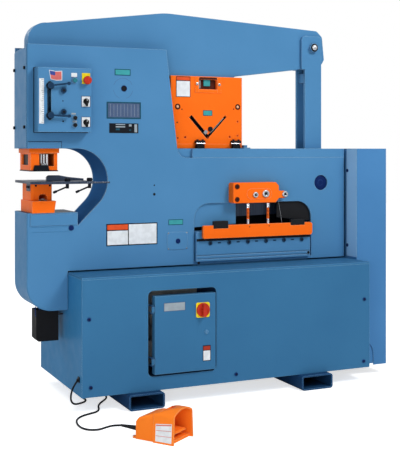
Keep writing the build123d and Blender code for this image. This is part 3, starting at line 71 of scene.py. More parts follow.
class Look:
    """A node material under construction."""

    def __init__(self, name):
        self.material = bpy.data.materials.new(name)
        self.material.use_nodes = True
        self.tree = self.material.node_tree
        self.shader = self.tree.nodes["Principled BSDF"]

    def node(self, kind, **settings):
        made = self.tree.nodes.new(kind)
        for key, value in settings.items():
            if key in made.inputs:
                made.inputs[key].default_value = value
            else:
                setattr(made, key, value)
        return made

    def link(self, source, target):
        self.tree.links.new(source, target)

    def noise(self, scale, detail=3.0, stretch=None):
        place = self.node("ShaderNodeTexCoord").outputs["Object"]
        if stretch:
            mapping = self.node("ShaderNodeMapping", Scale=stretch)
            self.link(place, mapping.inputs["Vector"])
            place = mapping.outputs["Vector"]
        made = self.node("ShaderNodeTexNoise", Scale=scale, Detail=detail)
        self.link(place, made.inputs["Vector"])
        return made.outputs["Fac"]

    def blend(self, factor, low, high, a, b):
        """Colour from a to b as factor goes from low to high."""
        reach = self.node("ShaderNodeMapRange")
        self.link(factor, reach.inputs["Value"])
        reach.inputs["From Min"].default_value = low
        reach.inputs["From Max"].default_value = high
        mix = self.node("ShaderNodeMix", data_type="RGBA")
        self.link(reach.outputs["Result"], mix.inputs["Factor"])
        for socket, value in ((mix.inputs[6], a), (mix.inputs[7], b)):
            if isinstance(value, list):
                socket.default_value = value
            else:
                self.link(value, socket)
        return mix.outputs[2]

    def rough(self, factor, a, b):
        reach = self.node("ShaderNodeMapRange")
        self.link(factor, reach.inputs["Value"])
        reach.inputs["From Min"].default_value = 0.3
        reach.inputs["From Max"].default_value = 0.7
        reach.inputs["To Min"].default_value = a
        reach.inputs["To Max"].default_value = b
        self.link(reach.outputs["Result"], self.shader.inputs["Roughness"])

    def bump(self, height, strength, distance=0.0005, edge=0.0):
        made = self.node("ShaderNodeBump", Strength=strength, Distance=distance)
        self.link(height, made.inputs["Height"])
        if edge:
            rounded = self.node("ShaderNodeBevel", samples=4, Radius=edge)
            self.link(rounded.outputs["Normal"], made.inputs["Normal"])
        self.link(made.outputs["Normal"], self.shader.inputs["Normal"])

    def edges(self, radius):
        """1 on sharp edges, 0 on flats."""
        rounded = self.node("ShaderNodeBevel", samples=4, Radius=radius)
        plain = self.node("ShaderNodeNewGeometry")
        dot = self.node("ShaderNodeVectorMath", operation="DOT_PRODUCT")
        self.link(rounded.outputs["Normal"], dot.inputs[0])
        self.link(plain.outputs["Normal"], dot.inputs[1])
        flip = self.node("ShaderNodeMath", operation="SUBTRACT")
        flip.inputs[0].default_value = 1.0
        self.link(dot.outputs["Value"], flip.inputs[1])
        return flip.outputs[0]


def paint(name, colour, dark, light, rough=(0.32, 0.45), edge=0.0045, gloss=0.05):
    """Sprayed enamel: slow tone changes, fine orange peel, and pale edges: painted highlight on every edge,
    partly also paint worn thin.
    """
    look = Look(name)
    tone = look.blend(look.noise(2.2, 4.0), 0.3, 0.7, rgb(dark), rgb(colour))
    # Edges blend to the pale colour: painted highlight, partly also paint worn thin.
    edge_wear_and_highlight = look.blend(look.edges(edge), 0.02, 0.35, tone, rgb(light))
    scuffs = look.blend(look.noise(55.0, 5.0), 0.66, 0.74, edge_wear_and_highlight, rgb(dark))
    look.link(scuffs, look.shader.inputs["Base Color"])
    look.shader.inputs["Specular IOR Level"].default_value = gloss
    look.rough(look.noise(18.0), *rough)
    look.bump(look.noise(420.0, 2.0), 0.12, 0.0002, edge)
    return look.material


def plastic(name, colour, rough, grain=0.15):
    """Moulded plastic or rubber with a fine grain."""
    look = Look(name)
    base = rgb(colour)
    shade = [c * 0.8 for c in base[:3]] + [1.0]
    look.link(look.blend(look.noise(30.0), 0.35, 0.65, shade, base), look.shader.inputs["Base Color"])
    look.shader.inputs["Specular IOR Level"].default_value = 0.15
    look.rough(look.noise(60.0), *rough)
    look.bump(look.noise(900.0, 2.0), grain, 0.0002, 0.0008)
    return look.material


def steel(name, colour, dark, rough=(0.25, 0.45), stretch=(4.0, 4.0, 300.0), metallic=1.0):
    """Ground or machined steel: fine parallel marks and a little staining."""
    look = Look(name)
    marks = look.noise(1.0, 4.0, stretch)
    stain = look.blend(look.noise(9.0, 6.0), 0.35, 0.75, rgb(colour), rgb(dark))
    look.link(look.blend(marks, 0.3, 0.7, stain, rgb(dark)), look.shader.inputs["Base Color"])
    look.shader.inputs["Metallic"].default_value = metallic
    look.rough(marks, *rough)
    look.bump(marks, 0.1, 0.0002, 0.001)
    return look.material


def label(name, colour):
    """Printed or painted flat colour."""
    look = Look(name)
    base = rgb(colour)
    shade = [c * 0.9 for c in base[:3]] + [1.0]
    look.link(look.blend(look.noise(40.0), 0.4, 0.6, shade, base), look.shader.inputs["Base Color"])
    look.shader.inputs["Specular IOR Level"].default_value = 0.1
    look.rough(look.noise(25.0), 0.39, 0.51)
    look.bump(look.noise(120.0), 0.05, 0.0001)
    return look.material


BLUE = paint("blue_enamel", "5289b7", "4b82af", "9cc4e0")
# Blue enamel darkened for the base, which sits low and gets less light: painted shade.
SHADED_BASE_BLUE = paint("base_enamel_painted_shade", "3b739d", "366c96", "7fb0d4")
# Blue enamel darkened to how the base's left side looks in shade: painted shade. The jaw seams and the latch
# ring reuse it.
SIDE_SHADE_BLUE = paint("side_enamel_painted_shade", "3a80b2", "3478a8", "7fb0d4")
END_BLUE = paint("end_enamel", "4d85ba", "477eb2", "8dbbe0")
# Very pale blue enamel for the end cabinet's left side, which lies in shade: painted light.
LIT_CHEEK_BLUE = paint("cheek_enamel_painted_light", "a2d0f2", "98c8ec", "b4dcf4")
# Blue enamel darkened for the inside of the throat: painted shade. It has no sheen.
SHADED_THROAT_BLUE = paint("throat_enamel_painted_shade", "3a6fa8", "32649c", "6a9cc8", (0.5, 0.6), gloss=0.0)
DEEP_BLUE = paint("deep_enamel", "1f466f", "183a60", "6a9cc8", (0.3, 0.42))
NAVY = paint("navy_enamel", "122a62", "0e2250", "3a5ea8", (0.35, 0.5))
DUSK = paint("dusk_enamel", "1f3d5c", "19324c", "4a7094", (0.35, 0.5))
ORANGE = paint("orange_enamel", "ff741e", "fa6a16", "ffc08a", (0.3, 0.42), 0.004)
# Orange enamel made paler and yellower for the foot switch down by the floor: painted light.
LIT_PEDAL_ORANGE = paint("pedal_enamel_painted_light", "ff8a2c", "fb8026", "ffc08a", (0.3, 0.42), 0.004)
BLACK = paint("black_enamel", "232325", "1b1b1d", "3a3a3d", (0.4, 0.55), 0.0015)
GREY = paint("grey_enamel", "6d7276", "5c6165", "8d9296", (0.4, 0.55), 0.002)
DARK = paint("dark_metal", "1b1f28", "13161d", "4a5058", (0.3, 0.45), 0.001)
SLATE = steel("dark_steel", "3c4a5e", "28354a", (0.3, 0.5), (200.0, 4.0, 4.0), 0.5)
GROUND = steel("ground_steel", "b9bcc0", "85898e")
CHROME = steel("chrome", "e8eaec", "b8bcc2", (0.08, 0.2), (5.0, 5.0, 5.0))
RED = plastic("red_plastic", "c23420", (0.2, 0.3))
YELLOW = plastic("yellow_plastic", "fae022", (0.3, 0.4))
GREEN = plastic("green_plastic", "2c7f8c", (0.2, 0.3))
BLACK_PLASTIC = plastic("black_plastic", "141518", (0.3, 0.45), 0.2)
PALE_PLASTIC = plastic("pale_plastic", "c9cccb", (0.4, 0.55), 0.2)
RUBBER = plastic("black_rubber", "14161a", (0.45, 0.6), 0.35)
WHITE = label("white_label", "e6ebef")
TEAL = label("teal_label", "3f9fa4")
DARK_TEAL = label("dark_teal_label", "1d4f63")
LABEL_GREY = label("grey_label", "9aa7b0")
LABEL_SLATE = label("slate_label", "4c5f80")
LABEL_ORANGE = label("orange_label", "e2562b")
LABEL_RED = label("red_label", "a83a2c")
# Pale peach for the pivot caps: orange with a painted highlight.
LABEL_BROWN = label("brown_label", "4a1c10")
PEACH_HIGHLIGHT = label("peach_highlight_label", "f2b48c")
LABEL_BLACK = label("black_label", "12151c")
LABEL_BLUE = label("blue_label", "3c4d96")
LABEL_PINK = label("pink_label", "d8706c")


def dress(material, *names):
    """Give solids of the part one material."""
    for name in names:
        slots = nodes[name].data.materials
        slots.clear()
        slots.append(material)


dress(BLUE, "frame_plate", "front_plate", "rear_plate", "head_end_cover", "jaw_end_cover", "cabinet_top",
      "tie_post", "shear_bed", "control_panel", "oil_tank", "shear_ram", "door_latch")
dress(SHADED_BASE_BLUE, "base_deck", "base_front_cover", "base_rear_cover", "enclosure_door")
dress(SIDE_SHADE_BLUE, "base_frame")
dress(END_BLUE, "end_cabinet")
dress(SHADED_THROAT_BLUE, "throat_liner")
# The electric box is dark blue so that the gap round the door reads as deep shade: painted shade. The skid
# tubes have this dark blue of their own.
dress(DEEP_BLUE, "skid_tubes", "electric_box")
dress(ORANGE, "angle_plate", "bar_bracket", "stripper_housing", "bolster", "die_holder", "guard_bar")
dress(LIT_PEDAL_ORANGE, "pedal_body", "treadle")
dress(BLACK, "angle_hold_downs", "slug_bin")
dress(GREY, "pump_set", "punch_cylinder", "shear_cylinder")
dress(SLATE, "punch_table", "upper_blade")
dress(GROUND, "lower_blade", "die", "punch_ram", "punch_nut", "punch", "angle_blade")
dress(DARK, "stroke_stop_upper", "stroke_stop_lower", "stripper_plate", "table_lever_left",
      "table_lever_right")
dress(DUSK, "clamp_lever_upper", "clamp_lever_lower")
dress(RED, "disconnect_knob", "emergency_stop")
dress(GREEN, "start_button")
dress(BLACK_PLASTIC, "jog_button_upper", "jog_button_lower", "selector_upper", "selector_lower", "cord_gland")
dress(PALE_PLASTIC, "electric_gear")
dress(RUBBER, "cord_relief")


# Pieces

def piece(name, mesh, material, body="machine", bevel=0.0, smooth=True):
    """Turn a mesh under construction into a piece that rides on a body."""
    bmesh.ops.recalc_face_normals(mesh, faces=mesh.faces)
    data = bpy.data.meshes.new(name)
    mesh.to_mesh(data)
    mesh.free()
    made = bpy.data.objects.new(name, data)
    bpy.context.scene.collection.objects.link(made)
    data.materials.append(material)
    if smooth:
        data.polygons.foreach_set("use_smooth", [True] * len(data.polygons))
        data.set_sharp_from_angle(angle=math.radians(35))
    if bevel:
        rounding = made.modifiers.new("rounding", "BEVEL")
        rounding.width = bevel / 1000
        rounding.segments = 2
        rounding.limit_method = "ANGLE"
    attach(made, body)


def block(mesh, x0, x1, y0, y1, z0, z1):
    """Box between two places on each axis."""
    low, high = at(x0, y0, z0), at(x1, y1, z1)
    middle = Matrix.Translation((low + high) / 2)
    size = Matrix.Diagonal((*(high - low), 1))
    bmesh.ops.create_cube(mesh, size=1.0, matrix=middle @ size)


FACING = {
    "front": Matrix.Rotation(math.radians(90), 4, "X"),
    "left": Matrix.Rotation(math.radians(-90), 4, "Y"),
    "top": Matrix.Identity(4),
    "back": Matrix.Rotation(math.radians(-90), 4, "X"),
    "right": Matrix.Rotation(math.radians(90), 4, "Y"),
}


def round_part(mesh, x, y, z, radius, height, facing="front", sides=28, tip=None, lift=0.0):
    """Cylinder, cone or prism standing on a point of a face and growing outwards."""
    shift = Matrix.Translation((0, 0, (lift + height / 2) / 1000))
    top = radius if tip is None else tip
    place = Matrix.Translation(at(x, y, z)) @ FACING[facing] @ shift
    bmesh.ops.create_cone(mesh, cap_ends=True, segments=sides, radius1=radius / 1000, radius2=top / 1000,
                          depth=height / 1000, matrix=place)


def lathe(mesh, x, y, z, profile, facing="front", sides=28):
    """Turned form on a point of a face: (radius, height) pairs spun about the face's normal."""
    place = Matrix.Translation(at(x, y, z)) @ FACING[facing]
    rings = []
    for radius, height in profile:
        count = sides if radius else 1
        turns = [2 * math.pi * step / sides for step in range(count)]
        spots = [Vector((radius * math.cos(turn) / 1000, radius * math.sin(turn) / 1000, height / 1000))
                 for turn in turns]
        rings.append([mesh.verts.new(place @ spot) for spot in spots])
    for low, high in zip(rings, rings[1:]):
        for step in range(sides):
            corners = [low[step % len(low)], low[(step + 1) % len(low)],
                       high[(step + 1) % len(high)], high[step % len(high)]]
            mesh.faces.new(list(dict.fromkeys(corners)))


def ring(mesh, x, y, z, inner, outer, height, facing="front"):
    """Flat ring standing on a face."""
    lathe(mesh, x, y, z, [(inner, 0), (outer, 0), (outer, height), (inner, height), (inner, 0)], facing, 36)


def rod(mesh, start, end, radius, sides=10):
    """Round rod between two places."""
    low, high = at(*start), at(*end)
    run = high - low
    turn = run.to_track_quat("Z", "Y").to_matrix().to_4x4()
    bmesh.ops.create_cone(mesh, cap_ends=True, segments=sides, radius1=radius / 1000, radius2=radius / 1000,
                          depth=run.length, matrix=Matrix.Translation((low + high) / 2) @ turn)


def slab(mesh, corners, offset):
    """Flat plate with any outline, given by its corners and how far it is extruded."""
    lower = [mesh.verts.new(at(*corner)) for corner in corners]
    shift = Vector(offset) / 1000
    upper = [mesh.verts.new(vertex.co + shift) for vertex in lower]
    mesh.faces.new(lower)
    mesh.faces.new(upper)
    for step in range(len(lower)):
        after = (step + 1) % len(lower)
        mesh.faces.new((lower[step], lower[after], upper[after], upper[step]))


def outline(name, points, y, material, thickness=0.8, lift=0.0, bevel=0.0):
    """Thin plate on a face that looks to the front, given by the corners of its outline."""
    cut_plate(name, points, y - lift, -thickness, material, bevel=bevel)


def dots(name, places, y, body="machine"):
    """Black spots on a face that looks to the front: painted shade standing in for holes and recesses."""
    mesh = bmesh.new()
    for x, z, radius in places:
        round_part(mesh, x, y, z, radius, 0.2)
    piece(name, mesh, LABEL_BLACK, body)


def turned(name, x, y, z, profile, material, facing="front", sides=28, body="machine"):
    """A piece that is one turned form."""
    mesh = bmesh.new()
    lathe(mesh, x, y, z, profile, facing, sides)
    piece(name, mesh, material, body)


def washer_ring(name, x, y, z, inner, outer, height, material, facing="front", body="machine", bevel=0.0):
    """A piece that is one flat ring."""
    mesh = bmesh.new()
    ring(mesh, x, y, z, inner, outer, height, facing)
    piece(name, mesh, material, body, bevel=bevel)


def boxes(name, edges, material, body="machine", bevel=0.0, smooth=False):
    """A piece made of boxes, each given by its two places on x, y and z."""
    mesh = bmesh.new()
    for box in edges:
        block(mesh, *box)
    piece(name, mesh, material, body, bevel=bevel, smooth=smooth)


def cut_plate(name, corners, y, depth, material, body="machine", bevel=0.0, smooth=False):
    """A piece cut from plate: its corners on x and z, the plane they are in and its extent along y."""
    mesh = bmesh.new()
    slab(mesh, [(x, y, z) for x, z in corners], (0, depth, 0))
    piece(name, mesh, material, body, bevel=bevel, smooth=smooth)


def frame_bars(x0, x1, z0, z1, width):
    """The four bars of a rectangular frame, as areas for plates()."""
    return [(x0, x1, z1 - width, z1), (x0, x1, z0, z0 + width),
            (x0, x0 + width, z0 + width, z1 - width), (x1 - width, x1, z0 + width, z1 - width)]


def cap_screws(name, places, radius, height, facing="front", material=DARK):
    """Socket head screws: round head, with its hexagonal recess drawn as a black hexagon: painted shade."""
    heads, recess_shades = bmesh.new(), bmesh.new()
    for x, y, z in places:
        round_part(heads, x, y, z, radius, height, facing, 24)
        round_part(heads, x, y, z, radius * 0.92, height * 0.12, facing, 24, radius * 0.8, height)
        round_part(recess_shades, x, y, z, radius * 0.5, height * 0.14, facing, 6, lift=height)
    piece(name, heads, material)
    piece(name + "_recess_shade", recess_shades, LABEL_BLACK)


def hex_bolts(name, places, radius, height):
    """Hexagon bolts on washers, on a face that looks to the back."""
    washer = 1.6
    heads = bmesh.new()
    for x, y, z in places:
        round_part(heads, x, y, z, radius * 1.35, washer, "back", 24)
        round_part(heads, x, y, z, radius, height, "back", 6, lift=washer)
        round_part(heads, x, y, z, radius * 0.9, height * 0.2, "back", 6, radius * 0.6, height + washer)
    piece(name, heads, GROUND)


def plates(name, areas, y, material, thickness=0.8, body="machine", bevel=0.0, lift=0.0):
    """Thin plates on a face that looks to the front, each given by its edges."""
    mesh = bmesh.new()
    for x0, x1, z0, z1 in areas:
        block(mesh, x0, x1, y - lift - thickness, y - lift, z0, z1)
    piece(name, mesh, material, body, bevel=bevel, smooth=False)


# Cord: the route of the part's cord, from the gland to the foot switch's strain relief

cord_route = [
    (-10, 45, 146), (-27, 50, 121), (-34, 60, 88), (-30, 80, 56), (-14, 108, 31), (10, 142, 14),
    (42, 174, 6.5), (76, 198, 5.4), (94, 232, 5.3), (88, 273, 5.4), (100, 314, 5.3), (138, 338, 5.4),
    (181, 333, 5.3), (207, 301, 5.4), (206, 257, 5.3), (190, 214, 5.4), (160, 176, 5.3), (130, 136, 5.4),
    (108, 92, 5.3), (98, 44, 5.4), (74, 4, 5.3), (30, -14, 5.4), (-14, -36, 5.3), (-48, -76, 5.4),
    (-66, -128, 5.3), (-72, -180, 5.4), (-68, -226, 5.3), (-46, -262, 5.4), (-8, -278, 7),
    (20, -296, 20), (39, -331, 34), (60.5, -366.3, 41),
]
curve = bpy.data.curves.new("foot_switch_cord", "CURVE")
curve.dimensions = "3D"
spline = curve.splines.new("NURBS")
spline.points.add(len(cord_route) - 1)
for point, place in zip(spline.points, cord_route):
    point.co = (*at(*place), 1.0)
spline.order_u = 3
spline.use_endpoint_u = True
spline.resolution_u = 8
curve.bevel_depth = 0.0045
curve.bevel_resolution = 6
curve.materials.append(RUBBER)
cord = bpy.data.objects.new("foot_switch_cord", curve)
bpy.context.scene.collection.objects.link(cord)
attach(cord, "machine")
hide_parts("cord")


# Camera, light and floor

camera_data = bpy.data.cameras.new("camera")
camera = bpy.data.objects.new("camera", camera_data)
bpy.context.scene.collection.objects.link(camera)
camera.location = at(-1343.3, -4277.1, 1224)
camera.rotation_euler = (math.radians(90), 0, math.radians(-24.4))
camera_data.lens = 75.76
camera_data.sensor_width = 36
camera_data.shift_y = -0.1747
bpy.context.scene.camera = camera


def area_light(name, place, target, size, power):
    """Rectangular lamp at a point, turned to another one, both in metres."""
    data = bpy.data.lights.new(name, "AREA")
    data.shape = "RECTANGLE"
    data.size, data.size_y = size
    data.energy = power
    lamp = bpy.data.objects.new(name, data)
    bpy.context.scene.collection.objects.link(lamp)
    lamp.location = place
    lamp.rotation_euler = (Vector(target) - Vector(place)).to_track_quat("-Z", "Y").to_euler()


area_light("key", (1.7, -3.4, 4.4), (0, 0, 1.3), (1.6, 1.6), 150)
area_light("fill", (-3.8, -3.4, 2.2), (0, 0, 1.1), (2.6, 2.6), 24)
area_light("low", (-1.7, -2.1, 0.55), (-0.5, -0.6, 0.1), (0.7, 0.5), 9)
area_light("rim", (-2.0, 3.2, 3.8), (0, 0, 1.2), (2.0, 2.0), 60)

world = bpy.data.worlds.new("studio")
bpy.context.scene.world = world
world.use_nodes = True
sky = world.node_tree
rays = sky.nodes.new("ShaderNodeLightPath")
seen = rays.outputs["Is Camera Ray"]
for kind in ("Is Glossy Ray", "Is Transmission Ray"):
    either = sky.nodes.new("ShaderNodeMath")
    either.operation = "MAXIMUM"
    sky.links.new(seen, either.inputs[0])
    sky.links.new(rays.outputs[kind], either.inputs[1])
    seen = either.outputs[0]
strength = sky.nodes.new("ShaderNodeMapRange")
strength.inputs["To Min"].default_value = 0.42
strength.inputs["To Max"].default_value = 1.0
sky.links.new(seen, strength.inputs["Value"])
sky.links.new(strength.outputs["Result"], sky.nodes["Background"].inputs["Strength"])
sky.nodes["Background"].inputs["Color"].default_value = (1.0, 1.0, 1.0, 1.0)
bpy.context.scene.view_settings.view_transform = "Standard"

ground = bmesh.new()
bmesh.ops.create_grid(ground, x_segments=1, y_segments=1, size=14.0)
floor_data = bpy.data.meshes.new("floor")
ground.to_mesh(floor_data)
ground.free()
floor = bpy.data.objects.new("floor", floor_data)
bpy.context.scene.collection.objects.link(floor)
floor_look = Look("floor")
floor_look.link(floor_look.blend(floor_look.noise(1.0), 0.3, 0.7, rgb("e9ebec"), rgb("eeeff0")),
                floor_look.shader.inputs["Base Color"])
floor_look.shader.inputs["Roughness"].default_value = 0.8
floor_rays = floor_look.node("ShaderNodeLightPath")
glow = floor_look.node("ShaderNodeMath", operation="MULTIPLY")
glow.inputs[1].default_value = 0.66
floor_look.link(floor_rays.outputs["Is Camera Ray"], glow.inputs[0])
floor_look.link(glow.outputs[0], floor_look.shader.inputs["Emission Strength"])
floor_look.shader.inputs["Emission Color"].default_value = (1.0, 1.0, 1.0, 1.0)
floor_data.materials.append(floor_look.material)


# Control panel

# Dark rubber rim round the panel: painted shadow along the panel's edges.
plates("panel_shadow_rim", frame_bars(-171, 99, 1303, 1613, 5), FRAME_FACE, RUBBER, 4)
plates("stroke_scale", [(-161, -138, 1345, 1557)], PANEL, WHITE)
ticks = bmesh.new()
for step in range(21):
    height = 1351 + step * 10
    block(ticks, -146 if step % 5 else -151, -139, PANEL - 1.1, PANEL - 0.7, height - 0.7, height + 0.7)
piece("stroke_scale_marks", ticks, LABEL_BLACK, smooth=False)
# Black strip beside the slot, widening its dark opening: painted shade.
plates("slot_shade_strip", [(-122, -117.2, 1368, 1538)], PANEL, LABEL_BLACK, 0.05)
outline("panel_sticker", [(-114, 1598), (-82, 1593), (-50, 1595), (-50, 1550), (-78, 1548), (-106, 1554)],
        PANEL, WHITE)
outline("panel_sticker_field",
        [(-111, 1595), (-82, 1590), (-53, 1592), (-53, 1553), (-78, 1551), (-104, 1556)],
        PANEL, LABEL_PINK, 0.3, lift=0.8)
outline("panel_sticker_corner", [(-111, 1595), (-84, 1590.5), (-84, 1572), (-108, 1576)],
        PANEL, LABEL_BLUE, 0.3, lift=1.1)
plates("start_tag", [(-5, 23, 1568, 1587)], PANEL, WHITE)
plates("start_tag_line", [(-5, 23, 1564, 1568)], PANEL, LABEL_SLATE)
plates("emergency_plate", [(47, 88, 1536, 1588)], PANEL, YELLOW, 1.5, bevel=0.5)
plates("selector_plate_edges", [(44, 90, 1425, 1479), (44, 90, 1329, 1380)], PANEL, LABEL_SLATE, 0.8)
plates("selector_plates", [(47, 87, 1428, 1476), (47, 87, 1332, 1377)], PANEL, WHITE, 1.2, bevel=0.4)
plates("jog_tags", [(-5, 17, 1389, 1397), (2, 22, 1352, 1360)], PANEL, LABEL_GREY)
cap_screws("panel_knobs", [(-45, PANEL - 8, 1502), (-45, PANEL - 8, 1401)], 14, 5, material=DUSK)
dots("panel_holes", [(-46, 1453, 3), (-45, 1357, 4.5)], PANEL)
SELECTOR_X = 67.5
MARK_REACH = 17.5
SELECTORS = (("selector_upper", 1453), ("selector_lower", 1353))
marks = bmesh.new()
for body, z in SELECTORS:
    for turn in (-60, 0, 60):
        swing = math.radians(90 + turn)
        x = SELECTOR_X + MARK_REACH * math.cos(swing)
        middle = Matrix.Translation(at(x, PANEL - 1.3, z + MARK_REACH * math.sin(swing)))
        size = Matrix.Diagonal((0.001, 0.0003, 0.004, 1))
        lean = Matrix.Rotation(-math.radians(turn), 4, "Y")
        bmesh.ops.create_cube(marks, size=1.0, matrix=middle @ lean @ size)
piece("selector_marks", marks, LABEL_BLACK, smooth=False)
for body, z in SELECTORS:
    boxes(body + "_pointer", [(66.6, 68.4, PANEL - 19.4, PANEL - 18.9, z + 2, z + 10)], WHITE, body)
    cut_plate(body + "_tail", [(60, z - 8), (75, z - 8), (73, z - 24), (66, z - 24)], PANEL - 4, -11,
              BLACK_PLASTIC, body, bevel=1.5, smooth=True)

# Front plate

plates("teal_plate_frame", [(236, 319, 1588, 1620)], FRAME_FACE, DARK_TEAL, 1.2, bevel=0.4)
plates("teal_plate", [(240, 315, 1592, 1616)], FRAME_FACE, TEAL, 0.3, lift=1.2)
seam = bmesh.new()
for first, last in ((20, 160), (190, 250), (290, 350)):
    for turn in range(first, last, 10):
        start, end = math.radians(turn), math.radians(turn + 10)
        slab(seam, [(280 + radius * math.cos(angle), FRAME_FACE, 1524 + radius * math.sin(angle))
                    for radius, angle in ((50.5, start), (51.6, start), (51.6, end), (50.5, end))],
             (0, -0.15, 0))
piece("cover_seam", seam, LABEL_SLATE, smooth=False)
washer_ring("cover_bush", 285, FRAME_FACE, 1524, 13.5, 15.5, 1.2, NAVY)
dots("cover_hole", [(285, 1524, 13.5)], FRAME_FACE)
plates("display_frame", frame_bars(195, 373, 1375, 1457, 6), FRAME_FACE, DARK_TEAL, 3.0, bevel=0.8)
plates("display_plate", [(201, 367, 1381, 1451)], FRAME_FACE, LABEL_SLATE, 1.8)
# Pale vertical bands on the display plate: painted highlights.
plates("display_highlight_bands", [(213 + 18 * i, 214.2 + 18 * i, 1386, 1446) for i in range(9)],
       FRAME_FACE, LABEL_GREY, 0.15, lift=1.8)
plates("data_plate", [(208, 360, 1304, 1352)], FRAME_FACE, LABEL_BLACK, 1.6, bevel=0.4)
plates("data_plate_fields", [(241, 290, 1344, 1348.5), (241, 290, 1332, 1338), (310, 324, 1337, 1348),
                             (339, 353, 1308, 1348)], FRAME_FACE, LABEL_GREY, 0.2, lift=1.6)
plates("data_plate_green", [(241, 262, 1318, 1327), (312, 321, 1316, 1322)],
       FRAME_FACE, DARK_TEAL, 0.2, lift=1.6)
plates("side_label_edge", [(193, 462, 749, 858)], FRAME_FACE, LABEL_BLACK)
plates("side_label", [(198, 305, 754, 823), (310, 457, 754, 853)], FRAME_FACE, WHITE, 0.4, lift=0.8)
plates("side_label_header", [(198, 305, 828, 853)], FRAME_FACE, LABEL_ORANGE, 0.4, lift=0.8)
plates("bed_tag_frame", [(522, 602, 842, 870)], FRAME_FACE, DARK_TEAL)
plates("bed_tag", [(525, 599, 845, 867)], FRAME_FACE, TEAL, 0.3, lift=0.8)
plates("head_pad", [(-198, -35, 1229, 1259)], FRAME_FACE, BLUE, 3.0, bevel=1.2)
plates("jaw_pad", [(-186, 46, 859, 914)], FRAME_FACE, BLUE, 3.5, bevel=1.4)
plates("head_pad_seam", [(-198, -32, 1259, 1262), (-35, -32, 1229, 1259)], FRAME_FACE, DUSK, 0.8)
plates("jaw_seams", [(-180, 2, 851, 853), (-176, 8, 828, 829.5)], FRAME_FACE, SIDE_SHADE_BLUE, 0.6)
dots("plate_holes", [(445.5, 1044, 4), (445.5, 999, 7)], FRAME_FACE)
turned("jaw_pin", 15, FRAME_FACE, 845, [(0, 0), (13, 0), (13, 3), (11, 5), (0, 5)], NAVY)
# Dark sheet on the jaw's top face: painted shade.
boxes("jaw_top_shade", [(x0, x1, FRAME_FACE + 3, REAR_FACE - 4, JAW_TOP, JAW_TOP + 0.8)
                  for x0, x1 in ((-68, 46), (-197, -178))], DUSK)
rounded_cover = []
for centre_x, centre_z, start in ((606, 785, 0), (536, 785, 90), (536, 738, 180), (606, 738, 270)):
    for step in range(7):
        turn = math.radians(start + 15 * step)
        rounded_cover.append((centre_x + 22 * math.cos(turn), centre_z + 22 * math.sin(turn)))
outline("oval_cover", rounded_cover, FRAME_FACE, BLUE, 2.0, bevel=0.8)
turned("oval_cover_pin", 574, FRAME_FACE - 2, 760, [(0, 0), (13, 0), (13, 1), (11, 2), (0, 2)], NAVY)
cap_screws("oval_cover_screws", [(x, FRAME_FACE, z) for x in (522, 622) for z in (722, 801)], 3.6, 2.4,
           material=GROUND)
turned("oil_plug", 1416, 231.5, 1044,
       [(0, 0), (40.5, 0), (40.5, 4), (38, 5.5), (16, 5.5), (15, 7), (0, 7)], NAVY)
cap_screws("cabinet_screws", [(CABINET_SIDE, 208, 1108), (CABINET_SIDE, 208, 700)], 9, 3, "left", NAVY)
# Pale sheet on the end cabinet's shaded left side: painted light, making it as bright as the front.
boxes("cabinet_lit_cheek", [(CABINET_SIDE, CABINET_SIDE + 1.1, 121, 219, 641, 1227)], LIT_CHEEK_BLUE, bevel=0.3)
cap_screws("end_cover_screws", [(-204, y, z) for y in (252, 450) for z in (1613, 1330)], 8, 7, "left")

# Arch and tie post

washer_ring("pin_washer", 1406, 270, 1779, 14.5, 22, 1.2, LABEL_BLACK)
turned("pin_cap", 1406, 270, 1779, [(0, 0), (15, 0), (15, 4), (12, 8), (6, 10), (0, 10.5)], CHROME)
washer_ring("lifting_rim", 538, FRAME_BACK, 1895, 11, 22, 6, BLUE, "back", bevel=1.5)

# Base and enclosure

cap_screws("base_screws", [(34, 0, 437), (42, 0, 121), (1547, 0, 435), (1543, 0, 109), (793, 0, 112)], 9, 4,
           material=NAVY)
cap_screws("rear_cover_screws", [(x, 720, z) for x in (40, 790, 1540) for z in (110, 590)], 9, 4, "back")
HUB_X, HUB_Z = 604.0, 446.0      # disconnect's axis
HUB_HOLE = 12.0
escutcheon = bmesh.new()
edges = []
for step in range(32):
    turn = 2 * math.pi * (step + 0.5) / 32
    along, up = math.cos(turn), math.sin(turn)
    reach = 36.5 / max(abs(along), abs(up))
    edges.append(((HUB_X + along * HUB_HOLE, DOOR - 4, HUB_Z + up * HUB_HOLE),
                  (HUB_X + along * reach, DOOR - 4, HUB_Z + up * reach)))
for (inner, outer), (next_inner, next_outer) in zip(edges, edges[1:] + edges[:1]):
    slab(escutcheon, [inner, next_inner, next_outer, outer], (0, -0.07, 0))
piece("disconnect_plate", escutcheon, YELLOW, "door", smooth=False)
boxes("disconnect_pointer", [(602.6, 605.4, DOOR - 22.6, DOOR - 22.0, 452, 470)], WHITE, "disconnect")
plates("door_tag", [(401, 512, 450, 491)], DOOR, LABEL_SLATE, body="door")
plates("door_tag_field", [(403, 510, 452, 489)], DOOR, LABEL_GREY, 0.3, body="door", lift=0.8)
plates("door_label", [(605, 647, 196, 272)], DOOR, LABEL_BLACK, body="door")
plates("door_label_field", [(608, 644, 199, 246)], DOOR, WHITE, 0.4, body="door", lift=0.8)
plates("door_label_header", [(608, 644, 249, 268)], DOOR, LABEL_RED, 0.4, body="door", lift=0.8)
washer_ring("latch_ring", 624, DOOR, 337, 9.6, 12.5, 0.8, SIDE_SHADE_BLUE, body="door")
boxes("notch_plate", [(1581, 1700, 124.2, 127, 66, 200), (1581, 1700, 124.2, 136, 60, 66)],
      END_BLUE, bevel=0.8)
hook = bmesh.new()
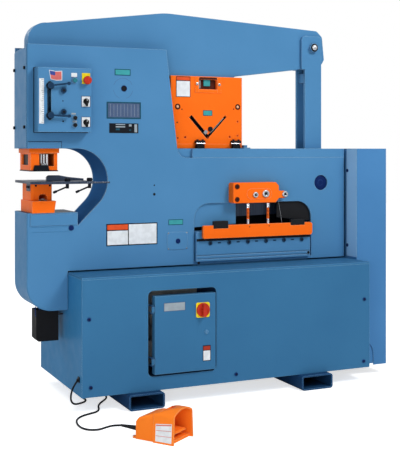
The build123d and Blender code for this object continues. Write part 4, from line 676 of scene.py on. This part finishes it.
for start, end in (((-140, 302, 462), (-140, 302, 420)), ((-140, 302, 420), (-134, 302, 414)),
                   ((-140, 302, 462), (-128, 302, 472)), ((-128, 302, 472), (-118, 302, 448))):
    rod(hook, start, end, 2.0)
piece("bin_hook", hook, NAVY)

# Punch end

boxes("gauge_bar", [(30, 178, 121, 130, 1061, 1070), (30, 60, 119.5, 121, 1060.5, 1070.5)], SLATE, bevel=0.8)
boxes("gauge_marks", [(66 + 8 * i, 66.8 + 8 * i, 120.8, 121, 1066 if i % 5 else 1064, 1070)
                      for i in range(14)], WHITE)
boxes("die_clamp", [(-173.5, -154, 274, 344, 1023, 1060)], SLATE, bevel=1.5)
cap_screws("die_clamp_screws", [(-173.5, 292, 1042), (-173.5, 326, 1042)], 7, 4, "left")
cap_screws("holder_screws", [(-150, 255, 1050), (-81, 255, 1050)], 5, 3)
slugs = bmesh.new()
for x, y, z in ((-126, 270, 977.2), (-104, 264, 977.2), (-115, 262, 982.4)):
    lathe(slugs, x, y, z, [(0, 0), (11.6, 0), (12, 1), (12, 4), (11.2, 5), (0, 5)], "top", 20)
piece("slugs", slugs, GROUND)
turned("punch_tip", -120, 340, 1129, [(12.3, 0), (12.3, 33), (12.1, 33.2), (12.1, 0), (12.3, 0)],
       CHROME, "top", 24, "punch_ram")
for side, x in (("left", -22), ("right", 88)):
    turned("knob_grip_" + side, x, 160, TABLE_TOP + 3, [(13.0, 0), (14.4, 1.5), (14.4, 7.5), (13.0, 9)],
           DARK, "top", 12, "table_lever_" + side)
columns = bmesh.new()
for x, radius in ((-117, 6), (-103, 6), (-87, 8)):
    lathe(columns, x, 284, 1124, [(0, 0), (radius, 0), (radius, 76), (0, 76)], "top", 20)
piece("guide_columns", columns, CHROME)
boxes("guide_keeper", [(-122, -94, 262, 272, 1142, 1156)], GROUND, bevel=3.0, smooth=True)
# Black sheet behind the stripper housing's side window: painted shade inside it.
boxes("side_window_shade", [(-168, -167.1, 296, 424, 1144, 1204)], LABEL_BLACK)
cut_plate("table_fence", [(-87, TABLE_TOP), (-87, 1089), (-76, 1098), (-25, 1098), (22, 1089), (98, 1081),
                          (98, TABLE_TOP)], 288, 20, SLATE, bevel=1.5)

# Angle shear

plates("stroke_window_frame", [(695, 716, 1517, 1599), (823, 844, 1517, 1599), (716, 823, 1517, 1534),
                               (716, 823, 1589, 1599)], ANGLE_FACE, ORANGE, 3.0, bevel=0.8)
# Dark brown plate over the top of the stroke window: painted shade, making the opening look taller.
plates("window_top_shade", [(719, 820, 1587.5, 1598)], ANGLE_FACE, LABEL_BROWN, 3.1)
plates("window_back", [(719, 820, 1537, 1586)], 302, LABEL_BROWN, 4.0)
plates("window_gauge", [(750, 786, 1553, 1586)], 298, TEAL, 8.0, bevel=1.0)
plates("window_slides", [(722, 726, 1540, 1583), (729, 732, 1540, 1583)], 298, CHROME, 5.0, bevel=0.8)
cap_screws("window_screws", [(706, ANGLE_FACE - 3, 1562), (833, ANGLE_FACE - 3, 1561)], 7, 4, material=CHROME)
plates("angle_label_edge", [(589, 669, 1493, 1599)], ANGLE_FACE, LABEL_BLACK)
plates("angle_label", [(592, 666, 1496, 1575)], ANGLE_FACE, WHITE, 0.4, lift=0.8)
plates("angle_label_header", [(592, 666, 1579, 1596)], ANGLE_FACE, LABEL_ORANGE, 0.4, lift=0.8)
plates("angle_tag_frame", [(741, 794, 1398, 1427)], ANGLE_FACE, DARK_TEAL)
plates("angle_tag", [(744, 791, 1401, 1424)], ANGLE_FACE, TEAL, 0.3, lift=0.8)
plates("angle_foot_strip", [(561, 696, 1229, 1252), (741, 899, 1229, 1252), (951, 963, 1229, 1252)],
       ANGLE_FACE, ORANGE, 2.0, bevel=0.8)
dots("angle_dots", [(595, 1362, 4), (599, 1282, 4), (622, 1430, 3.5), (918, 1435, 3.5)], ANGLE_FACE)
# Dark brown cups in the pivot holes: painted shade round the caps. The caps carry a painted highlight.
for side, x, z in (("left", 598, 1443), ("right", 942, 1447)):
    turned("pivot_shade_ring_" + side, x, 301, z,
           [(0, 0), (12.8, 0), (12.8, 21), (15, 21), (15, 22), (9, 22), (9, 12), (0, 12)], LABEL_BROWN)
    turned("pivot_cap_" + side, x, 289, z, [(0, 0), (8, 0), (8, 8), (6, 11), (3, 12), (0, 12.4)], PEACH_HIGHLIGHT)
VEE_POINT = Vector((767, 1288))  # where the two slots meet
# Black linings on the walls of the two vee slots: painted shade inside them.
slot_shade_linings = bmesh.new()
for slot_end, width in ((Vector((669, 1395)), 19), (Vector((873, 1398)), 12)):
    run = (VEE_POINT - slot_end).normalized()
    for side in (-1, 1):
        across = Vector((-run.y, run.x)) * side
        outer, inner = across * (width / 2 - 0.05), across * (width / 2 - 1)
        start, end = slot_end + run * 2, VEE_POINT - run * 8
        slab(slot_shade_linings, [(p.x, 303.5, p.y) for p in (start + outer, end + outer, end + inner, start + inner)],
             (0, -23.3, 0))
piece("vee_slot_shade", slot_shade_linings, LABEL_BLACK, smooth=False)
# Pale steel strip along the right slot: painted highlight on its edge.
cut_plate("vee_highlight_strip", [(786, 1310), (862, 1389), (864.5, 1387), (788.5, 1308)], 292, -3, GROUND)
cut_plate("heel_block", [(757, 1327), (742, 1312), (754, 1299), (769, 1314)], 284, -7, GROUND, bevel=1.0)
turned("heel_stop", 782, ANGLE_FACE, 1329, [(0, 0), (13, 0), (13, 4), (11, 6), (0, 6)], DARK)
bars = bmesh.new()
for x in (716, 915):
    rod(bars, (x - 27, 250, 1254), (x + 23, 250, 1254), 3.6, 14)
piece("hold_down_rods", bars, CHROME)
cap_screws("hold_down_screws", [(x, 266, 1270) for x in (703, 733, 910, 940)], 6, 5, "top")
boxes("ram_slot_guard", [(951, 990, 226, 300, 1228, 1233), (972, 990, 262, 300, 1233, 1246)],
      BLUE, bevel=1.0)


# Curtains that hang behind the frame's two rear openings

STRIP_THICKNESS = 2.5


def curtain(name, x0, x1, z0, z1, width):
    """Overlapping rubber strips under a clamping bar on the rear plate."""
    strips = bmesh.new()
    count = round((x1 - x0) / width)
    step = (x1 - x0) / count
    for number in range(count):
        middle = x0 + step * (number + 0.5)
        half = step / 2 + 3
        bow = 4.0 if number % 2 else 2.0
        section = [(middle + half * t, REAR_FACE + 3 + bow * (1 - t * t))
                   for t in (-1, -0.6, -0.2, 0.2, 0.6, 1)]
        section += [(x, y + STRIP_THICKNESS) for x, y in reversed(section)]
        slab(strips, [(x, y, z0) for x, y in section], (0, 0, z1 - z0))
    piece(name + "_strips", strips, RUBBER)
    bar_back = REAR_FACE + 14
    boxes(name + "_bar", [(x0 - 6, x1 + 6, REAR_FACE, bar_back, z1, z1 + 22)], BLACK, bevel=1.5)
    spots = [(x0 + 20 + (x1 - x0 - 40) * i / 4, bar_back, z1 + 11) for i in range(5)]
    hex_bolts(name + "_bolts", spots, 6, 4)


curtain("bar_curtain", 655, 1363, 640, 955, 59)
curtain("angle_curtain", 640, 905, 1243, 1435, 53)
hex_bolts("rear_plate_bolts",
          [(x, REAR_FACE, 1180) for x in (300, 520, 1500)] +
          [(x, REAR_FACE, z) for x in (-150, 300) for z in (1640, 1400)] +
          [(x, REAR_FACE, 690) for x in (100, 560, 1500)], 10, 6)

# Flat-bar shear

outline("blade_guard", [(650, 824), (907, 836), (907, 966), (650, 966)], BLADE_GUARDS, BLUE, 5.8, bevel=1.0)
# Black plate in the right of the bar window: painted shade behind the rising blade.
outline("blade_window_shade", [(1150, 862), (1372, 838), (1372, 966), (1150, 966)],
        BLADE_GUARDS, RUBBER, 5.8, bevel=1.0)
thread = [(radius, height + 4 * step) for step in range(7) for radius, height in ((7.3, 0), (8.9, 2))]
ribs = [(radius, height + 8 * step) for step in range(3)
        for radius, height in ((9.9, 0), (10.9, 1), (10.9, 6), (9.9, 7))]
# Thin black rings on the guard rods: painted shade between the ridges.
ridge_shade = [(6.8, 0), (7.05, 0), (7.05, 3), (6.8, 3), (6.8, 0)]
for side, x in (("left", 952), ("right", 1069)):
    turned("guard_thread_" + side, x, ROD_LINE, 836.4, thread, CHROME, "top", 16, "guard")
    turned("rod_tube_" + side, x, ROD_LINE, 920, [(9.3, 0)] + ribs + [(9.3, 25), (9.3, 0)], CHROME, "top", 24)
    ridge_shades = bmesh.new()
    for step in range(7):
        lathe(ridge_shades, x, ROD_LINE, 868 + 7 * step, ridge_shade, "top", 48)
    piece("rod_ridge_shade_" + side, ridge_shades, LABEL_BLACK, "guard")
boxes("guard_pads", [(752, 835, GUARD - 1, 191, 819.5, 858), (1202, 1286, GUARD - 1, 191, 823.5, 853)],
      RUBBER, "guard", bevel=2.5)
dots("guard_dots", [(958, 823, 3), (1073, 824, 3)], GUARD, "guard")
# Black strip along the bed: painted shadow under the lower blade's edge.
plates("bed_shadow_strip", [(669, 1335, 755, 768)], BED_FACE, LABEL_BLACK, 1.2)
BED_PITCH = 107.6
cap_screws("bed_screws", [(745 + BED_PITCH * i, BED_FACE, 744) for i in range(6)], 10.5, 5, material=DUSK)
plates("bed_marks", [(788 + BED_PITCH * i, 806 + BED_PITCH * i, 741, 748) for i in range(5)],
       BED_FACE, DUSK, 0.3)
dots("bed_ends", [(1325, 671, 8), (680, 645, 7)], BED_FACE)
washer_ring("bed_end_ring", 1325, BED_FACE, 671, 8, 11, 1.5, BLUE)
cap_screws("bracket_bolts", [(882, BRACKET, 1032), (882, BRACKET, 966)], 13, 3, material=LABEL_BROWN)
POCKET_Z, POCKET_RADIUS = 993.0, 27.0
recess = []
for centre, start in ((1058, -90), (965, 90)):
    for step in range(13):
        turn = math.radians(start + 15 * step)
        recess.append((centre + POCKET_RADIUS * math.cos(turn), BRACKET,
                       POCKET_Z + POCKET_RADIUS * math.sin(turn)))
pocket = bmesh.new()
for here, there in zip(recess, recess[1:] + recess[:1]):
    rod(pocket, here, there, 1.6, 8)
piece("bracket_pocket_rim", pocket, ORANGE)
for side, x, z, radius in (("left", 988, 988, 15), ("right", 1048, 993, 20)):
    turned("rod_clamp_" + side, x, BRACKET, z,
           [(0, 0), (radius, 0), (radius, 6), (radius - 2, 8), (0.55 * radius, 8), (0.5 * radius, 3), (0, 3)],
           CHROME)
    dots("rod_clamp_socket_" + side, [(x, z, 0.42 * radius)], BRACKET - 3.1)
turned("nose_bolt", 1168, 186, 988, [(0, 0), (9, 0), (9, 4), (13, 4), (13, 14), (11, 16), (0, 16)],
       DARK, "right")
turned("nose_screw", 1163, BRACKET, 988, [(0, 0), (17, 0), (17, 5), (14, 8), (9, 8), (8.5, 3), (0, 3)],
       CHROME)
dots("nose_socket", [(1163, 988, 7)], BRACKET - 3.1)
wire = bmesh.new()
rod(wire, (1139, 198, 967), (1168, 200, 806), 1.0, 8)
piece("return_wire", wire, GROUND)

# Foot switch

PEDAL_X, PEDAL_Y = 155.5, -403.0  # back end of the foot switch
PEDAL_WIDTH = 82.0                # half the hood's width at the floor,
PEDAL_TAPER = 7.0                 # how much narrower it gets each side
PEDAL_HEIGHT = 118.0              # over this height
pedal_turn = math.radians(-54.5)
pedal_axis = Vector((math.cos(pedal_turn), math.sin(pedal_turn)))
pedal_side = Vector((-math.sin(pedal_turn), math.cos(pedal_turn)))


def flank(u, z):
    """A place on the outer side of the foot switch's hood, by how far along and how high it is."""
    width = PEDAL_WIDTH - PEDAL_TAPER * z / PEDAL_HEIGHT
    spot = pedal_axis * u - pedal_side * width
    return (PEDAL_X + spot.x, PEDAL_Y + spot.y, z)


outward = Vector((-pedal_side.x, -pedal_side.y, 0)) * 0.8
sticker = bmesh.new()
slab(sticker, [flank(u, z) for u, z in ((104, 8), (183, 8), (183, 88), (104, 79))], outward)
piece("pedal_label", sticker, WHITE, smooth=False)
stripes = bmesh.new()
for back, front, high in ((71, 80, 5), (52, 57, 2), (30, 33, 2)):
    corners = ((106, back), (181, front), (181, front + high), (106, back + high))
    slab(stripes, [flank(u, z) for u, z in corners], outward * 1.3)
piece("pedal_label_header", stripes, LABEL_PINK, smooth=False)
